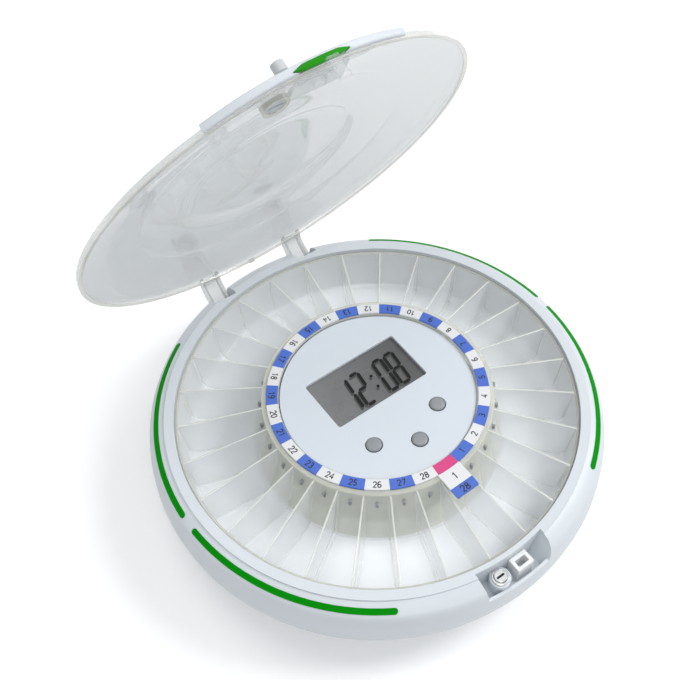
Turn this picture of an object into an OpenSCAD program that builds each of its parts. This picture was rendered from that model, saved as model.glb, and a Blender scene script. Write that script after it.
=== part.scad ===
// Round tabletop pill dispenser: a motor turns a 29-bay tray under a clear locking lid.
// Origin on the table below the centre, +Z up, lock at the front (-Y), hinge at the back (+Y).
// The lid is drawn open, as it stands while the tray is filled.

/* [Base] */
// Radius of the base at its widest line
base_r = 110; // [109:0.25:112]
// Height of the widest line above the table
seam_z = 27.5; // [26:0.25:28.5]
// Radius of the flat underside
flat_r = 80; // [78:0.5:84]
// Wall of the two outer shells
shell_wall = 2.2; // [1.8:0.1:2.6]
// Height of the rubber feet below the shell
foot_h = 1.6; // [1:0.1:2.5]
// Inner radius of the rubber foot ring
foot_in_r = 60; // [58:0.5:62]
// Width of the rubber foot ring
foot_w = 5; // [4:0.5:6]
// Width of the lip that the lid closes on
lip_w = 4.6; // [4:0.1:5]
// Drop from the lip to the outer band
lip_step = 0.8; // [0.4:0.1:1.2]
// Radial width of the sloping outer band
band_w = 3.2; // [3:0.1:3.6]
// Fall of the outer band over its width
band_drop = 2.1; // [1.8:0.1:2.4]
// Height of the underside of the tray deck
deck_z = 14.4; // [14:0.1:15]
// Thickness of the tray deck
deck_t = 2; // [1.6:0.1:2.2]

/* [Light strips] */
// Slope width of a light strip
strip_w = 2.8; // [2:0.1:3]
// Depth of a light strip in its groove
strip_t = 1; // [0.8:0.1:1.2]
// How far a strip stands proud of the band
strip_proud = 0.2; // [0.1:0.05:0.3]
// First and last angle of a front strip, below the X axis
strip_front = [3.6, 57]; // [0:0.1:60]
// First and last angle of a rear strip, above the X axis
strip_rear = [2, 55.4]; // [0:0.1:60]

/* [Tray] */
// Distance of the tray's rim inside the widest line of the base
rim_in = 13.8; // [13.4:0.1:14.4]
// How far the tray's outer wall leans in towards its floor
tray_lean = 2.6; // [2.2:0.1:3.4]
// Wall of the tray
tray_wall = 1.2; // [1:0.1:1.5]
// Number of bays in the tray
bays = 29; // [29:1:29]
// Height of the tray rim above the tray's underside
rim_h = 24.15; // [23.5:0.05:24.6]
// Height of the top of the number ring above the tray's underside
ring_h = 32.3; // [32:0.05:33]
// Radius of the tray's inner wall at the floor
cone_r = 61.7; // [61:0.1:62.5]
// Radius of the tray's inner wall at the collar
collar_r = 54.5; // [54:0.1:55]
// Radius of the rounded corner at the tray floor
tray_fillet = 4; // [3:0.5:5]
// Gap between the turning tray and the bowl around it
tray_gap = 0.5; // [0.4:0.05:0.7]

/* [Number ring] */
// Inner radius of the number ring
ring_in_r = 47.5; // [47.3:0.1:48]
// Outer radius of the number ring
ring_out_r = 52.9; // [52.5:0.1:53.5]
// Thickness of the number ring
ring_t = 0.8; // [0.6:0.1:1]
// Half width of the tab on the number ring
tab_half_w = 6.1; // [5:0.1:7]
// Radius of the outer end of the tab
tab_r = 67; // [65:0.5:68]

/* [Drive] */
// Gear module
gear_m = 1; // [1:0.05:1]
// Teeth of the ring gear under the turntable
ring_teeth = 100; // [100:20:100]
// Teeth of the drive gear
drive_teeth = 20; // [20:10:20]
// Teeth of the motor pinion
pinion_teeth = 10; // [10:10:10]
// Face width of the drive gear and the pinion
gear_w = 4.8; // [4:0.1:5]
// Running gap between flat faces that turn
run_gap = 0.3; // [0.3:0.05:0.4]
// Thickness of the turntable
table_t = 2; // [1.6:0.1:2.4]
// Height of the glide ring on the deck
glide_h = 1; // [0.8:0.1:1.4]
// Radius of the motor
motor_r = 6; // [5:0.5:6.5]
// Length of the motor
motor_len = 18; // [15:0.5:18]

/* [Hub] */
// Radius of the control panel
panel_r = 46.7; // [46.5:0.05:46.8]
// Outer radius of the hub housing
hub_r = 46.2; // [46:0.05:46.4]
// Wall of the hub housing
hub_wall = 1.8; // [1.4:0.1:2]
// Thickness of the control panel
panel_t = 1.8; // [1.4:0.1:2]
// Depth of the control panel below the number ring
panel_drop = 2; // [1.8:0.1:2.6]
// Width of the display window
lcd_w = 51.6; // [48:0.2:53]
// Height of the display window
lcd_h = 28.6; // [26:0.2:30]
// Distance of the display's centre behind the hub's centre
lcd_y = 9.6; // [9:0.1:10]
// Radius of a button
button_r = 3.7; // [3.6:0.1:4.3]
// Sideways distance of the outer buttons
button_x = 18.6; // [18:0.1:20]
// Forward distance of the outer buttons
button_y = 21.7; // [21:0.1:22.5]
// Forward distance of the middle button
button_mid_y = 32; // [31:0.1:33]
// Travel of a button
button_travel = 0.8; // [0.5:0.05:0.9]
// Gap around a button in the panel
button_gap = 0.4; // [0.3:0.05:0.5]

/* [Batteries] */
// Radius of a battery cell
cell_r = 7.25; // [7:0.05:7.25]
// Length of a battery cell
cell_len = 50.5; // [49:0.1:50.5]
// Distance between neighbouring cells
cell_pitch = 14.7; // [14.6:0.05:14.8]
// Wall of the battery box
box_wall = 1.2; // [1:0.1:1.4]

/* [Lid] */
// How far the lid's rim reaches past the tray's rim
lid_over = 2.2; // [1.8:0.1:2.6]
// Wall of the lid
lid_wall = 1.8; // [1.5:0.1:2]
// Height of the lid above its rim
lid_h = 13.1; // [12.8:0.1:14]
// Angle that the lid stands open
lid_open = 65; // [30:1:85]
// Distance of the hinge line inside the widest line of the base
hinge_in = 7; // [6.5:0.1:7.5]
// Height of the hinge line above the table
hinge_z = 33.3; // [32.5:0.1:34]
// Inner side of a hinge arm, from the middle
arm_x = 20; // [19.5:0.1:21]
// Width of a hinge arm
arm_w = 10.6; // [9.5:0.1:11]
// Radius of a hinge pin
pin_r = 1.5; // [1.2:0.05:1.6]
// Radial thickness of the trim on the front of the lid
trim_t = 2.6; // [2.2:0.1:2.8]
// Height of the trim's top above the lid's rim
trim_h = 4.3; // [4:0.1:4.8]
// Half of the angle that the trim covers
trim_half = 28.6; // [26:0.2:30]
// Angle of the middle of the trim, from the front towards the left
trim_turn = 3.3; // [0:0.1:5]

/* [Lock and latch] */
// Sideways place of the key lock
lock_x = -11; // [-11.5:0.1:-10.5]
// Distance of the key lock inside the widest line of the base
lock_in = 7.5; // [7.3:0.1:7.7]
// Radius of the lock barrel
lock_r = 4.1; // [3.8:0.1:4.2]
// Sideways place of the latch
latch_x = 1; // [0.5:0.1:1.5]
// Travel of the release button
press_travel = 0.9; // [0.8:0.05:0.95]
// Left and right sides of the front pocket
pocket_x = [-21, 15.6]; // [-24:0.1:20]
// Height of the floor of the front pocket
pocket_z = 31; // [30.5:0.1:32]
// Height of the low edge in front of the pocket
pocket_lip = 36.5; // [35.5:0.5:41]

/* [Hidden] */
$fn = 96;
eps = 0.01;

// Radii that follow the base
tray_r = base_r - rim_in;
tray_foot_r = tray_r - tray_lean;
lid_r = tray_r + lid_over;
hinge_y = base_r - hinge_in;
lock_y = base_r - lock_in;

// Heights, from the table up
lip_rise = 1.75;
floor_z = foot_h + shell_wall;
deck_top = deck_z + deck_t;
table_z = deck_top + glide_h + run_gap;
tray_z = table_z + table_t;
bay_z = tray_z + tray_wall;
rim_z = tray_z + rim_h;
ring_z = tray_z + ring_h;
collar_z = ring_z - ring_t;
lip_z = rim_z + lip_rise;
panel_z = ring_z - panel_drop;
lid_z = lip_z + run_gap;

// Radii of the upper shell, from the bowl out
bowl_foot_gap = 1.6;
step_w = 2.3;
step_fall = 0.7;
bowl_r = tray_r + tray_gap;
bowl_foot_r = tray_foot_r + bowl_foot_gap;
lip_r = bowl_r + lip_w;
band_in_r = lip_r + step_w;
band_out_r = band_in_r + band_w;
band_in_z = lip_z - lip_step - step_fall;
band_out_z = band_in_z - band_drop;
band_angle = atan2(band_drop, band_w);
bowl_wall = 1.8;
bowl_back_r = bowl_r + bowl_wall;
hub_in_r = hub_r - hub_wall;

// Points of a quadratic curve from a to c, bent towards b
function bend(a, b, c, n = 8) =
    [for (i = [0 : n]) let (t = i / n) (1 - t) * (1 - t) * a + 2 * t * (1 - t) * b + t * t * c];
function under_z(r) = under_edge[1] + (under_edge[0] - r) * under_slope;
function flip(p) = [for (i = [len(p) - 1 : -1 : 0]) p[i]];
function polar(r, a) = [r * cos(a), r * sin(a)];

// Underside of the band, inside the shell
under_slope = 0.3;
under_drop = 0.3;
under_edge = [lip_r + 1, lip_z - lip_step - shell_wall - under_drop];

// Outlines of the two shells, outside and inside
belly_h = 12;
heel_r = 1;
heel_h = 3;
skin_drop = 0.6;
upper_curve = bend([base_r, seam_z], [base_r, seam_z + belly_h], [band_out_r, band_out_z]);
lower_curve = bend([flat_r, foot_h], [base_r - heel_r, foot_h + heel_h], [base_r, seam_z]);
upper_inner = [for (p = upper_curve) [p[0] - shell_wall, max(p[1] - skin_drop, seam_z)]];

// Solid that fills the base above the seam, out to its skin
module base_envelope(inset = 0, low = seam_z, in_r = bowl_back_r) {
    rotate_extrude($fn = 180)
        polygon(concat([[in_r, low], [base_r - inset, low]],
                       [for (p = upper_curve) [p[0] - inset, max(p[1], low)]],
                       [[band_in_r - inset, band_in_z], [lip_r, lip_z - lip_step], [lip_r, lip_z],
                        [in_r, lip_z]]));
}

module ring(r_out, r_in, z, h) {
    translate([0, 0, z]) difference() {
        cylinder(r = r_out, h = h, $fn = 180);
        translate([0, 0, -1]) cylinder(r = r_in, h = h + 2, $fn = 180);
    }
}

module tube(r_out, r_in, h) {
    difference() {
        cylinder(r = r_out, h = h);
        translate([0, 0, -1]) cylinder(r = r_in, h = h + 2);
    }
}

// Shell fasteners
screw_in = 5;
screw_pcr = foot_in_r + foot_w + screw_in;
screw_count = 6;
screw_r = 1.25;
screw_head_r = 2.8;
screw_head_h = 1.8;
boss_r = 4;
boss_split_z = 10;
screw_sink = 0.6;
screw_gap = 0.3;
screw_grip = 1.2;
screw_top_z = deck_z + screw_grip;

module at_screws() {
    for (i = [0 : screw_count - 1]) rotate(i * 360 / screw_count) translate([screw_pcr, 0, 0]) children();
}

// Battery bay, seen from above, with its door
cell_count = 4;
box_gap = 0.3;
box_in_w = cell_count * cell_pitch + box_gap;
contact_t = 0.4;
spring_len = 1.9;
box_front = 28.6;
box_in_y = [-box_front, cell_len + 2 * contact_t + spring_len - box_front];
cell_z = floor_z + cell_r;
box_top_z = cell_z + cell_r + box_gap + box_wall;
door_ledge = 2.2;
door_t = 1.1;
door_gap = 0.3;
door_tab_w = 14;
door_tab_len = 8;
door_screw_in = 3.6;
door_boss_r = 3.2;
door_boss_h = 5.2;
door_screw_grip = 4;
door_head_h = 1.2;
door_screw_y = box_in_y[1] + door_ledge + door_screw_in;
box_mid_y = (box_in_y[0] + box_in_y[1]) / 2;
box_len = box_in_y[1] - box_in_y[0];

module bay_block(grow, z, h) {
    translate([-box_in_w / 2 - grow, box_in_y[0] - grow, z])
        cube([box_in_w + 2 * grow, box_len + 2 * grow, h]);
}

module door_outline(gap, z, h) {
    bay_block(door_ledge - gap, z, h);
    translate([-door_tab_w / 2 + gap, box_in_y[1], z])
        cube([door_tab_w - 2 * gap, door_ledge + door_tab_len - gap, h]);
}

gear_pos = [0, (ring_teeth - drive_teeth) * gear_m / 2];
mesh_angle = 210;
pinion_pos = gear_pos + polar((drive_teeth + pinion_teeth) * gear_m / 2, mesh_angle);
gear_pin_r = 1.5;
gear_pin_foot = 1.2;
gear_boss_wall = 1.5;
bore_gap = 0.06;
gear_drop = 0.7;
bracket_rise = 1.1;
gear_z = table_z - gear_w - gear_drop;
gear_boss_z = gear_z - run_gap;
bracket_z = table_z + bracket_rise;
bracket_t = 1.6;
foot_sink = 1;
skin_in = 0.3;

module bottom_shell() {
    inner = [for (p = lower_curve) [p[0] - shell_wall * (p[1] - foot_h) / (seam_z - foot_h) - skin_in,
                                    min(p[1] + shell_wall, seam_z)]];
    color("whitesmoke") difference() {
        union() {
            rotate_extrude($fn = 180)
                polygon(concat([[0, foot_h]], lower_curve, [[base_r - shell_wall, seam_z]],
                               flip([for (p = inner) if (p[1] < seam_z - 1) p]), [[0, floor_z]]));
            at_screws() translate([0, 0, floor_z - eps])
                cylinder(r = boss_r, h = boss_split_z - floor_z + eps);
            translate([gear_pos[0], gear_pos[1], floor_z - eps])
                cylinder(r = gear_pin_r + gear_boss_wall, h = gear_boss_z - floor_z + eps);
            translate([0, door_screw_y, floor_z - eps]) cylinder(r = door_boss_r, h = door_boss_h);
        }
        at_screws() {
            cylinder(r = screw_r + screw_gap, h = boss_split_z + 1);
            cylinder(r = screw_head_r + screw_gap, h = foot_h + screw_sink + screw_head_h);
        }
        ring(foot_in_r + foot_w, foot_in_r, 0, foot_h + foot_sink);
        bay_block(0, 0, floor_z + 1);
        door_outline(0, 0, foot_h + door_t);
        translate([0, door_screw_y, 0]) cylinder(r = screw_r, h = floor_z + door_screw_grip);
        translate([gear_pos[0], gear_pos[1], floor_z + gear_pin_foot])
            cylinder(r = gear_pin_r, h = gear_boss_z);
    }
}

strip_gap = 0.05;

// A light strip: the band's slope between two angles, with round ends
module strip(a0, a1, grow, deep, proud) {
    mid_r = (band_in_r + band_out_r) / 2;
    mid_z = (band_in_z + band_out_z) / 2;
    half = strip_w / 2 + grow;
    run = polar(1, -band_angle);
    up = polar(1, 90 - band_angle);
    c = [mid_r, mid_z];
    rotate([0, 0, a0]) rotate_extrude(angle = a1 - a0, $fn = 180)
        polygon([c - half * run - deep * up, c + half * run - deep * up,
                 c + half * run + proud * up, c - half * run + proud * up]);
    for (a = [a0, a1]) rotate([0, 0, a]) translate([mid_r, 0, mid_z]) rotate([0, band_angle, 0])
        translate([0, 0, -deep]) cylinder(r = half, h = deep + proud, $fn = 32);
}

module strips(grow, deep, proud) {
    for (m = [0, 1]) mirror([m, 0, 0]) {
        strip(-strip_front[1], -strip_front[0], grow, deep, proud);
        strip(strip_rear[0], strip_rear[1], grow, deep, proud);
    }
}

hinge_wall = 2.5;
notch_gap = 0.5;
knuckle_r = 3;
notch_z = hinge_z - knuckle_r - 0.6;
pocket_back = 0.4;
pocket_back_r = bowl_back_r + pocket_back;
pocket_skin = 1.4;
lock_sleeve = 0.7;
lock_sleeve_h = 8.5;
pocket_wall = 1.6;
ramp_w = 5.6;

notch_in = 1.9;
pin_len = arm_w + 2 * notch_gap + 3.4;
arm_mid = arm_x + arm_w / 2;

module at_hinges() {
    for (s = [-1, 1]) translate([s * arm_mid, hinge_y, hinge_z]) children();
}

module hinge_block() {
    intersection() {
        base_envelope();
        at_hinges() cube([arm_w + 2 * (notch_gap + hinge_wall), base_r / 3, base_r], center = true);
    }
}

module hinge_notch() {
    for (s = [-1, 1]) translate([s * arm_mid - arm_w / 2 - notch_gap, bowl_back_r - notch_in, notch_z])
        cube([arm_w + 2 * notch_gap, base_r, base_r]);
}

module pin_holes() {
    at_hinges() rotate([0, 90, 0]) cylinder(r = pin_r, h = pin_len, center = true);
}

module pocket_span(grow, low) {
    translate([pocket_x[0] - grow, -base_r, low])
        cube([pocket_x[1] - pocket_x[0] + 2 * grow, base_r / 3, base_r]);
}

module pocket_void() {
    intersection() {
        union() {
            base_envelope(inset = pocket_skin, low = pocket_z, in_r = pocket_back_r);
            ring(base_r + 1, pocket_back_r, pocket_lip, lip_z);
        }
        pocket_span(0, pocket_z);
    }
}

module pocket_ramp() {
    intersection() {
        base_envelope();
        translate([0, -base_r, 0]) rotate([-90, 0, 0]) linear_extrude(base_r / 5)
            polygon([[pocket_x[1] + 1, -lip_z], [pocket_x[1] - ramp_w, -pocket_z],
                     [pocket_x[1] + 1, -pocket_z]]);
    }
}

module upper_shell() {
    color("white") difference() {
        union() {
            rotate_extrude($fn = 180)
                polygon(concat(upper_curve, [[band_in_r, band_in_z], [lip_r, lip_z - lip_step],
                        [lip_r, lip_z], [bowl_r, lip_z], [bowl_foot_r, deck_top + 2],
                        [bowl_foot_r - 2, deck_top], [deck_hole_r, deck_top], [deck_hole_r, deck_z],
                        [bowl_foot_r - 1.4, deck_z], [bowl_foot_r + bowl_wall, deck_top + 1.2],
                        [bowl_back_r, lip_z - 6], [bowl_back_r, under_z(bowl_back_r)]],
                        [under_edge], flip(upper_inner)));
            hinge_block();
            intersection() {
                base_envelope();
                pocket_span(pocket_wall, seam_z);
            }
            at_screws() translate([0, 0, boss_split_z]) cylinder(r = boss_r, h = deck_z - boss_split_z + eps);
        }
        difference() {
            pocket_void();
            pocket_ramp();
            translate([lock_x, -lock_y, pocket_z - 1])
                cylinder(r = lock_r + lock_sleeve, h = lock_sleeve_h + 1);
        }
        strips(strip_gap, strip_t, 1);
        hinge_notch();
        pin_holes();
        translate([lock_x, -lock_y, seam_z - 1]) cylinder(r = lock_r, h = base_r);
        at_screws() translate([0, 0, boss_split_z - 1])
            cylinder(r = screw_r, h = screw_top_z - boss_split_z + 1);
    }
}

module light_strips() {
    color("green") strips(0, strip_t, strip_proud);
}

// Curved boards with small lamps, glued under the band inside the shell
board_in = 0.5;
board_out = 0.8;
board_r = [bowl_back_r + board_in, lip_r + board_out];
board_t = 0.8;
lamp_h = 1;
lamp_count = 4;
lamp_half = 0.6;
lamp_in = 0.5;
lamp_seat = 0.2;
board_end = 3;

// A stretch of ring that follows the underside of the band
module under_band(r0, r1, top, t, a0, a1) {
    rotate([0, 0, a0]) rotate_extrude(angle = a1 - a0, $fn = 180)
        polygon([[r0, under_z(r0) - top], [r1, under_z(r1) - top],
                 [r1, under_z(r1) - top - t], [r0, under_z(r0) - top - t]]);
}

module strip_boards() {
    color("darkgreen") for (m = [0, 1]) mirror([m, 0, 0])
        for (span = [[-strip_front[1], -strip_front[0]], [strip_rear[0], strip_rear[1]]]) {
            lo = span[0] + board_end;
            hi = span[1] - board_end;
            under_band(board_r[0], board_r[1], lamp_h, board_t, lo, hi);
            for (k = [0 : lamp_count - 1]) let (mid = lo + (hi - lo) * (k + 0.5) / lamp_count)
                under_band(board_r[0] + lamp_in, board_r[1] - lamp_in, 0, lamp_h + lamp_seat,
                           mid - lamp_half, mid + lamp_half);
        }
}

// Space between the tray's walls: the bays before they are divided
bay_corner_r = tray_foot_r - tray_wall;
bay_rim_r = tray_r - tray_wall;
bay_slope = (bay_rim_r - bay_corner_r) / (rim_z - bay_z);
bay_fillet = bend([bay_corner_r - tray_fillet, bay_z], [bay_corner_r, bay_z],
                  [bay_corner_r + bay_slope * tray_fillet, bay_z + tray_fillet], 5);
collar_t = 1;
collar_low = collar_z - collar_t;
divider_t = 1.2;
shelf_gap = 0.4;
shelf_over = 0.7;
shelf_in_r = panel_r + shelf_gap;
shelf_out_r = collar_r + shelf_over;
bay_step = 360 / bays;

module bay_space() {
    rotate_extrude($fn = 180)
        polygon(concat([[cone_r, bay_z]], bay_fillet, [[bay_rim_r, rim_z], [collar_r, collar_low]]));
}

module tray_floor() {
    color([0.9, 0.91, 0.88, 0.5]) ring(bay_corner_r - tray_fillet, cone_r, tray_z, tray_wall);
}

module tray_outer_wall() {
    color([0.9, 0.91, 0.88, 0.5]) rotate_extrude($fn = 180)
        polygon(concat([[bay_corner_r - tray_fillet, tray_z], [tray_foot_r, tray_z], [tray_r, rim_z],
                        [bay_rim_r, rim_z]], flip(bay_fillet)));
}

module tray_inner_wall() {
    color([0.9, 0.91, 0.88, 0.5]) rotate_extrude($fn = 180)
        polygon([[cone_r - tray_wall, tray_z], [cone_r, tray_z], [cone_r, bay_z], [collar_r, collar_low],
                 [shelf_out_r, collar_low], [shelf_out_r, collar_z], [shelf_in_r, collar_z],
                 [shelf_in_r, collar_low], [collar_r - tray_wall, collar_low]]);
}

module tray_dividers() {
    color([0.9, 0.91, 0.88, 0.5]) intersection() {
        bay_space();
        for (i = [0 : bays - 1]) rotate([0, 0, -90 + (i + 0.5) * bay_step])
            translate([collar_r - 2, -divider_t / 2, bay_z - 1])
                cube([tray_r - collar_r + 4, divider_t, ring_h]);
    }
}

nib_w = 1.2;
nib_h = 3;
nib_len = 2.9;
nib_drop = 9;
nib_z = ring_z - nib_drop;

// Radius of the inner wall's outside at a height
function cone_at(z) = cone_r + (collar_r - cone_r) * (z - bay_z) / (collar_low - bay_z);

module tray_nibs() {
    color("gray") difference() {
        for (i = [0 : bays - 1]) rotate([0, 0, -90 + i * bay_step])
            translate([cone_at(nib_z) - nib_len + 0.9, -nib_w / 2, nib_z]) cube([nib_len, nib_w, nib_h]);
        rotate_extrude($fn = 180)
            polygon([[0, tray_z], [cone_r, bay_z], [collar_r, collar_low], [0, collar_low]]);
    }
}

module number_ring() {
    color("royalblue") ring(ring_out_r, ring_in_r, collar_z, ring_t);
}

module ring_tab() {
    color("white") intersection() {
        ring(tab_r, ring_out_r, collar_z, ring_t);
        translate([-tab_half_w, -tab_r - 1, collar_z - 1]) cube([2 * tab_half_w, tab_r, ring_t + 2]);
    }
}

// Gears with straight-sided teeth
backlash = 0.25;
addendum = 0.85;
dedendum = 1.15;

function tooth_half(r, pitch_r, sign) =
    (PI * gear_m / 2 - backlash) / 2 - sign * (r - pitch_r) * tan(20);
function gear_outline(teeth, sign, phase) =
    let (pitch_r = teeth * gear_m / 2, tip_r = pitch_r + sign * addendum * gear_m,
         root_r = pitch_r - sign * dedendum * gear_m,
         root_a = tooth_half(root_r, pitch_r, sign) / root_r * 180 / PI,
         tip_a = tooth_half(tip_r, pitch_r, sign) / tip_r * 180 / PI)
    [for (i = [0 : teeth - 1]) let (a = phase + i * 360 / teeth)
        each [polar(root_r, a - root_a), polar(tip_r, a - tip_a),
              polar(tip_r, a + tip_a), polar(root_r, a + root_a)]];

ring_pitch_r = ring_teeth * gear_m / 2;
ring_gear_wall = 3.2;
ring_gear_low = 0.4;
deck_gap = 2.5;
ring_gear_r = ring_pitch_r + dedendum * gear_m + ring_gear_wall;
deck_hole_r = ring_gear_r + deck_gap;
drive_phase = 90 + 180 / drive_teeth;
drive_at_mesh = drive_phase + round((mesh_angle - drive_phase) * drive_teeth / 360) * 360 / drive_teeth;
pinion_phase = mesh_angle - 180 - (drive_at_mesh - mesh_angle) * drive_teeth / pinion_teeth
    + 180 / pinion_teeth;

module ring_gear() {
    color("white") translate([0, 0, gear_z - ring_gear_low]) linear_extrude(table_z - gear_z + ring_gear_low)
    difference() {
        circle(r = ring_gear_r, $fn = 180);
        polygon(gear_outline(ring_teeth, -1, 90));
    }
}

module drive_gear() {
    color("white") translate([gear_pos[0], gear_pos[1], gear_z]) difference() {
        linear_extrude(gear_w) polygon(gear_outline(drive_teeth, 1, drive_phase));
        translate([0, 0, -1]) cylinder(r = gear_pin_r + bore_gap, h = gear_w + 2, $fn = 48);
    }
}

shaft_r = 1;
shaft_in = 5;
motor_cap_r = 2;
motor_cap_h = 1.2;

module motor_pinion() {
    color("goldenrod") translate([pinion_pos[0], pinion_pos[1], gear_z]) {
        linear_extrude(gear_w) polygon(gear_outline(pinion_teeth, 1, pinion_phase));
        cylinder(r = shaft_r, h = bracket_z + bracket_t + shaft_in - gear_z, $fn = 48);
    }
}

module motor() {
    color("silver") translate([pinion_pos[0], pinion_pos[1], bracket_z + bracket_t]) difference() {
        union() {
            cylinder(r = motor_r, h = motor_len);
            translate([0, 0, motor_len - eps]) cylinder(r = motor_cap_r, h = motor_cap_h);
        }
        translate([0, 0, -1]) cylinder(r = shaft_r + bore_gap, h = shaft_in + 1.4, $fn = 48);
    }
}

bracket_x = [-24, 14];
shaft_gap = 0.5;

module motor_bracket() {
    color("lightgray") difference() {
        intersection() {
            translate([0, 0, bracket_z]) cylinder(r = hub_in_r, h = bracket_t, $fn = 180);
            translate([bracket_x[0], box_in_y[1] + box_wall + box_gap, bracket_z - 1])
                cube([bracket_x[1] - bracket_x[0], hub_r, bracket_t + 2]);
        }
        translate([pinion_pos[0], pinion_pos[1], bracket_z - 1])
            cylinder(r = shaft_r + shaft_gap, h = bracket_t + 2);
        translate([gear_pos[0], gear_pos[1], bracket_z - 1])
            cylinder(r = gear_pin_r, h = bracket_t + 2, $fn = 48);
    }
}

module gear_pin() {
    color("silver") translate([gear_pos[0], gear_pos[1], floor_z + gear_pin_foot])
        cylinder(r = gear_pin_r, h = bracket_z + bracket_t - floor_z - gear_pin_foot, $fn = 48);
}

spigot_h = 8;
spigot_t = 1.5;
spigot_gap = 0.5;
table_in = 1.1;
table_lap = 3;

module turntable() {
    color("white") ring(tray_foot_r - table_in, ring_gear_r - table_lap, table_z, table_t);
}

// Ring on the turntable that centres the tray inside its inner wall
module turntable_spigot() {
    spigot_r = cone_at(tray_z + spigot_h) - tray_wall - spigot_gap;
    color("white") ring(spigot_r, spigot_r - spigot_t, tray_z, spigot_h);
}

glide_in = 3.6;
glide_w = 3;
glide_r = tray_foot_r - glide_in;

module glide_ring() {
    color("lightgray") ring(glide_r, glide_r - glide_w, deck_top, glide_h);
}

sensor_t = 3.4;
sensor_w = 6;
sensor_gap = 1.4;

module index_sensor() {
    color("dimgray") translate([0, 0, floor_z]) difference() {
        translate([-hub_r - sensor_t, -sensor_w / 2, 0])
            cube([sensor_t + 1, sensor_w, gear_z - sensor_gap - floor_z]);
        translate([0, 0, -1]) cylinder(r = hub_r, h = gear_z, $fn = 180);
    }
}

ledge_w = 2;
ledge_h = 1.5;
board_drop = 6.2;
board_z = panel_z - panel_t - board_drop;
window_gap = 2.5;
pcb_t = 1.6;
switch_h = 0.9;
lcd_t = 2.8;
lcd_edge = 2;
link_w = 2;
board_gap = 0.3;
flange_t = 1.3;
flange_w = 1;
rest_gap = 0.1;

module hub_housing() {
    window = drive_teeth * gear_m + 2 * window_gap;
    color("white") difference() {
        union() {
            ring(hub_r, hub_in_r, floor_z, panel_z - panel_t - floor_z);
            ring(hub_r - eps, hub_in_r - ledge_w, board_z - ledge_h, ledge_h);
        }
        translate([-window / 2, gear_pos[1] - 6, gear_z - 0.6])
            cube([window, hub_r / 2, bracket_z - gear_z + 0.6]);
    }
}

window_r = 1.2;

module rounded_window(w, h, r, z, t) {
    translate([0, lcd_y, z]) {
        translate([-w / 2 + r, -h / 2, 0]) cube([w - 2 * r, h, t]);
        translate([-w / 2, -h / 2 + r, 0]) cube([w, h - 2 * r, t]);
        for (x = [-1, 1]) for (y = [-1, 1])
            translate([x * (w / 2 - r), y * (h / 2 - r), 0]) cylinder(r = r, h = t, $fn = 32);
    }
}

button_places = [[-button_x, -button_y], [0, -button_mid_y], [button_x, -button_y]];

module control_panel() {
    color("white") difference() {
        translate([0, 0, panel_z - panel_t]) cylinder(r = panel_r, h = panel_t, $fn = 180);
        rounded_window(lcd_w, lcd_h, window_r, panel_z - panel_t - 1, panel_t + 2);
        for (p = button_places) translate([p[0], p[1], panel_z - panel_t - 1])
            cylinder(r = button_r + button_gap, h = panel_t + 2);
    }
}

module lcd_glass() {
    size = [lcd_w + 2 * lcd_edge, lcd_h + 2 * lcd_edge, lcd_t];
    color("dimgray") translate([-size[0] / 2, lcd_y - size[1] / 2, panel_z - panel_t - lcd_t]) cube(size);
}

module lcd_connectors() {
    color("hotpink") for (s = [-1, 1])
        translate([-lcd_w / 2 + 1, lcd_y + s * lcd_h / 2 - link_w / 2, board_z + pcb_t])
            cube([lcd_w - 2, link_w, panel_z - panel_t - lcd_t - board_z - pcb_t]);
}

module circuit_board() {
    color("darkgreen") translate([0, 0, board_z]) cylinder(r = hub_in_r - board_gap, h = pcb_t, $fn = 180);
}

chip_pos = [-22, -14];
chip_size = [10, 10, 1.4];

module controller_chip() {
    color("black") translate([chip_pos[0], chip_pos[1], board_z - chip_size[2]]) cube(chip_size);
}

buzzer_pos = [18, -18];
buzzer_r = 6;
buzzer_h = 5;

module buzzer() {
    color("black") translate([buzzer_pos[0], buzzer_pos[1], board_z - buzzer_h]) tube(buzzer_r, 1, buzzer_h);
}

switch_w = 5.2;
switch_key_r = 1.5;
switch_key_h = 0.4;

module button_switches() {
    color("silver") for (p = button_places) translate([p[0], p[1], board_z + pcb_t]) {
        translate([-switch_w / 2, -switch_w / 2, 0]) cube([switch_w, switch_w, switch_h - switch_key_h]);
        translate([0, 0, switch_h - switch_key_h - eps]) cylinder(r = switch_key_r, h = switch_key_h);
    }
}

cap_edge_h = 0.3;
cap_round = 0.4;
cap_h = 1;
stem_r = 2;
stem_gap = 0.3;

// A button: domed cap, flange behind the panel, stem towards its switch
module button_cap(p) {
    low = panel_z - panel_t - rest_gap - flange_t;
    stem_low = board_z + pcb_t + switch_h + button_travel + stem_gap;
    color("darkgray") translate([p[0], p[1], 0]) {
        rotate_extrude($fn = 64)
            polygon(concat([[0, low], [button_r + flange_w, low], [button_r + flange_w, low + flange_t],
                            [button_r, low + flange_t], [button_r, panel_z + cap_edge_h]],
                           bend([button_r, panel_z + cap_edge_h],
                                [button_r - cap_round, panel_z + cap_h - cap_round / 4],
                                [0, panel_z + cap_h], 5)));
        translate([0, 0, stem_low]) cylinder(r = stem_r, h = low - stem_low + eps);
    }
}

module button_left() button_cap(button_places[0]);
module button_middle() button_cap(button_places[1]);
module button_right() button_cap(button_places[2]);

module battery_box() {
    color("lightgray") difference() {
        bay_block(box_wall, floor_z, box_top_z - floor_z);
        bay_block(0, floor_z - 1, box_top_z - box_wall - floor_z + 1);
    }
}

function cell_x(i) = (i - (cell_count - 1) / 2) * cell_pitch;

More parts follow.
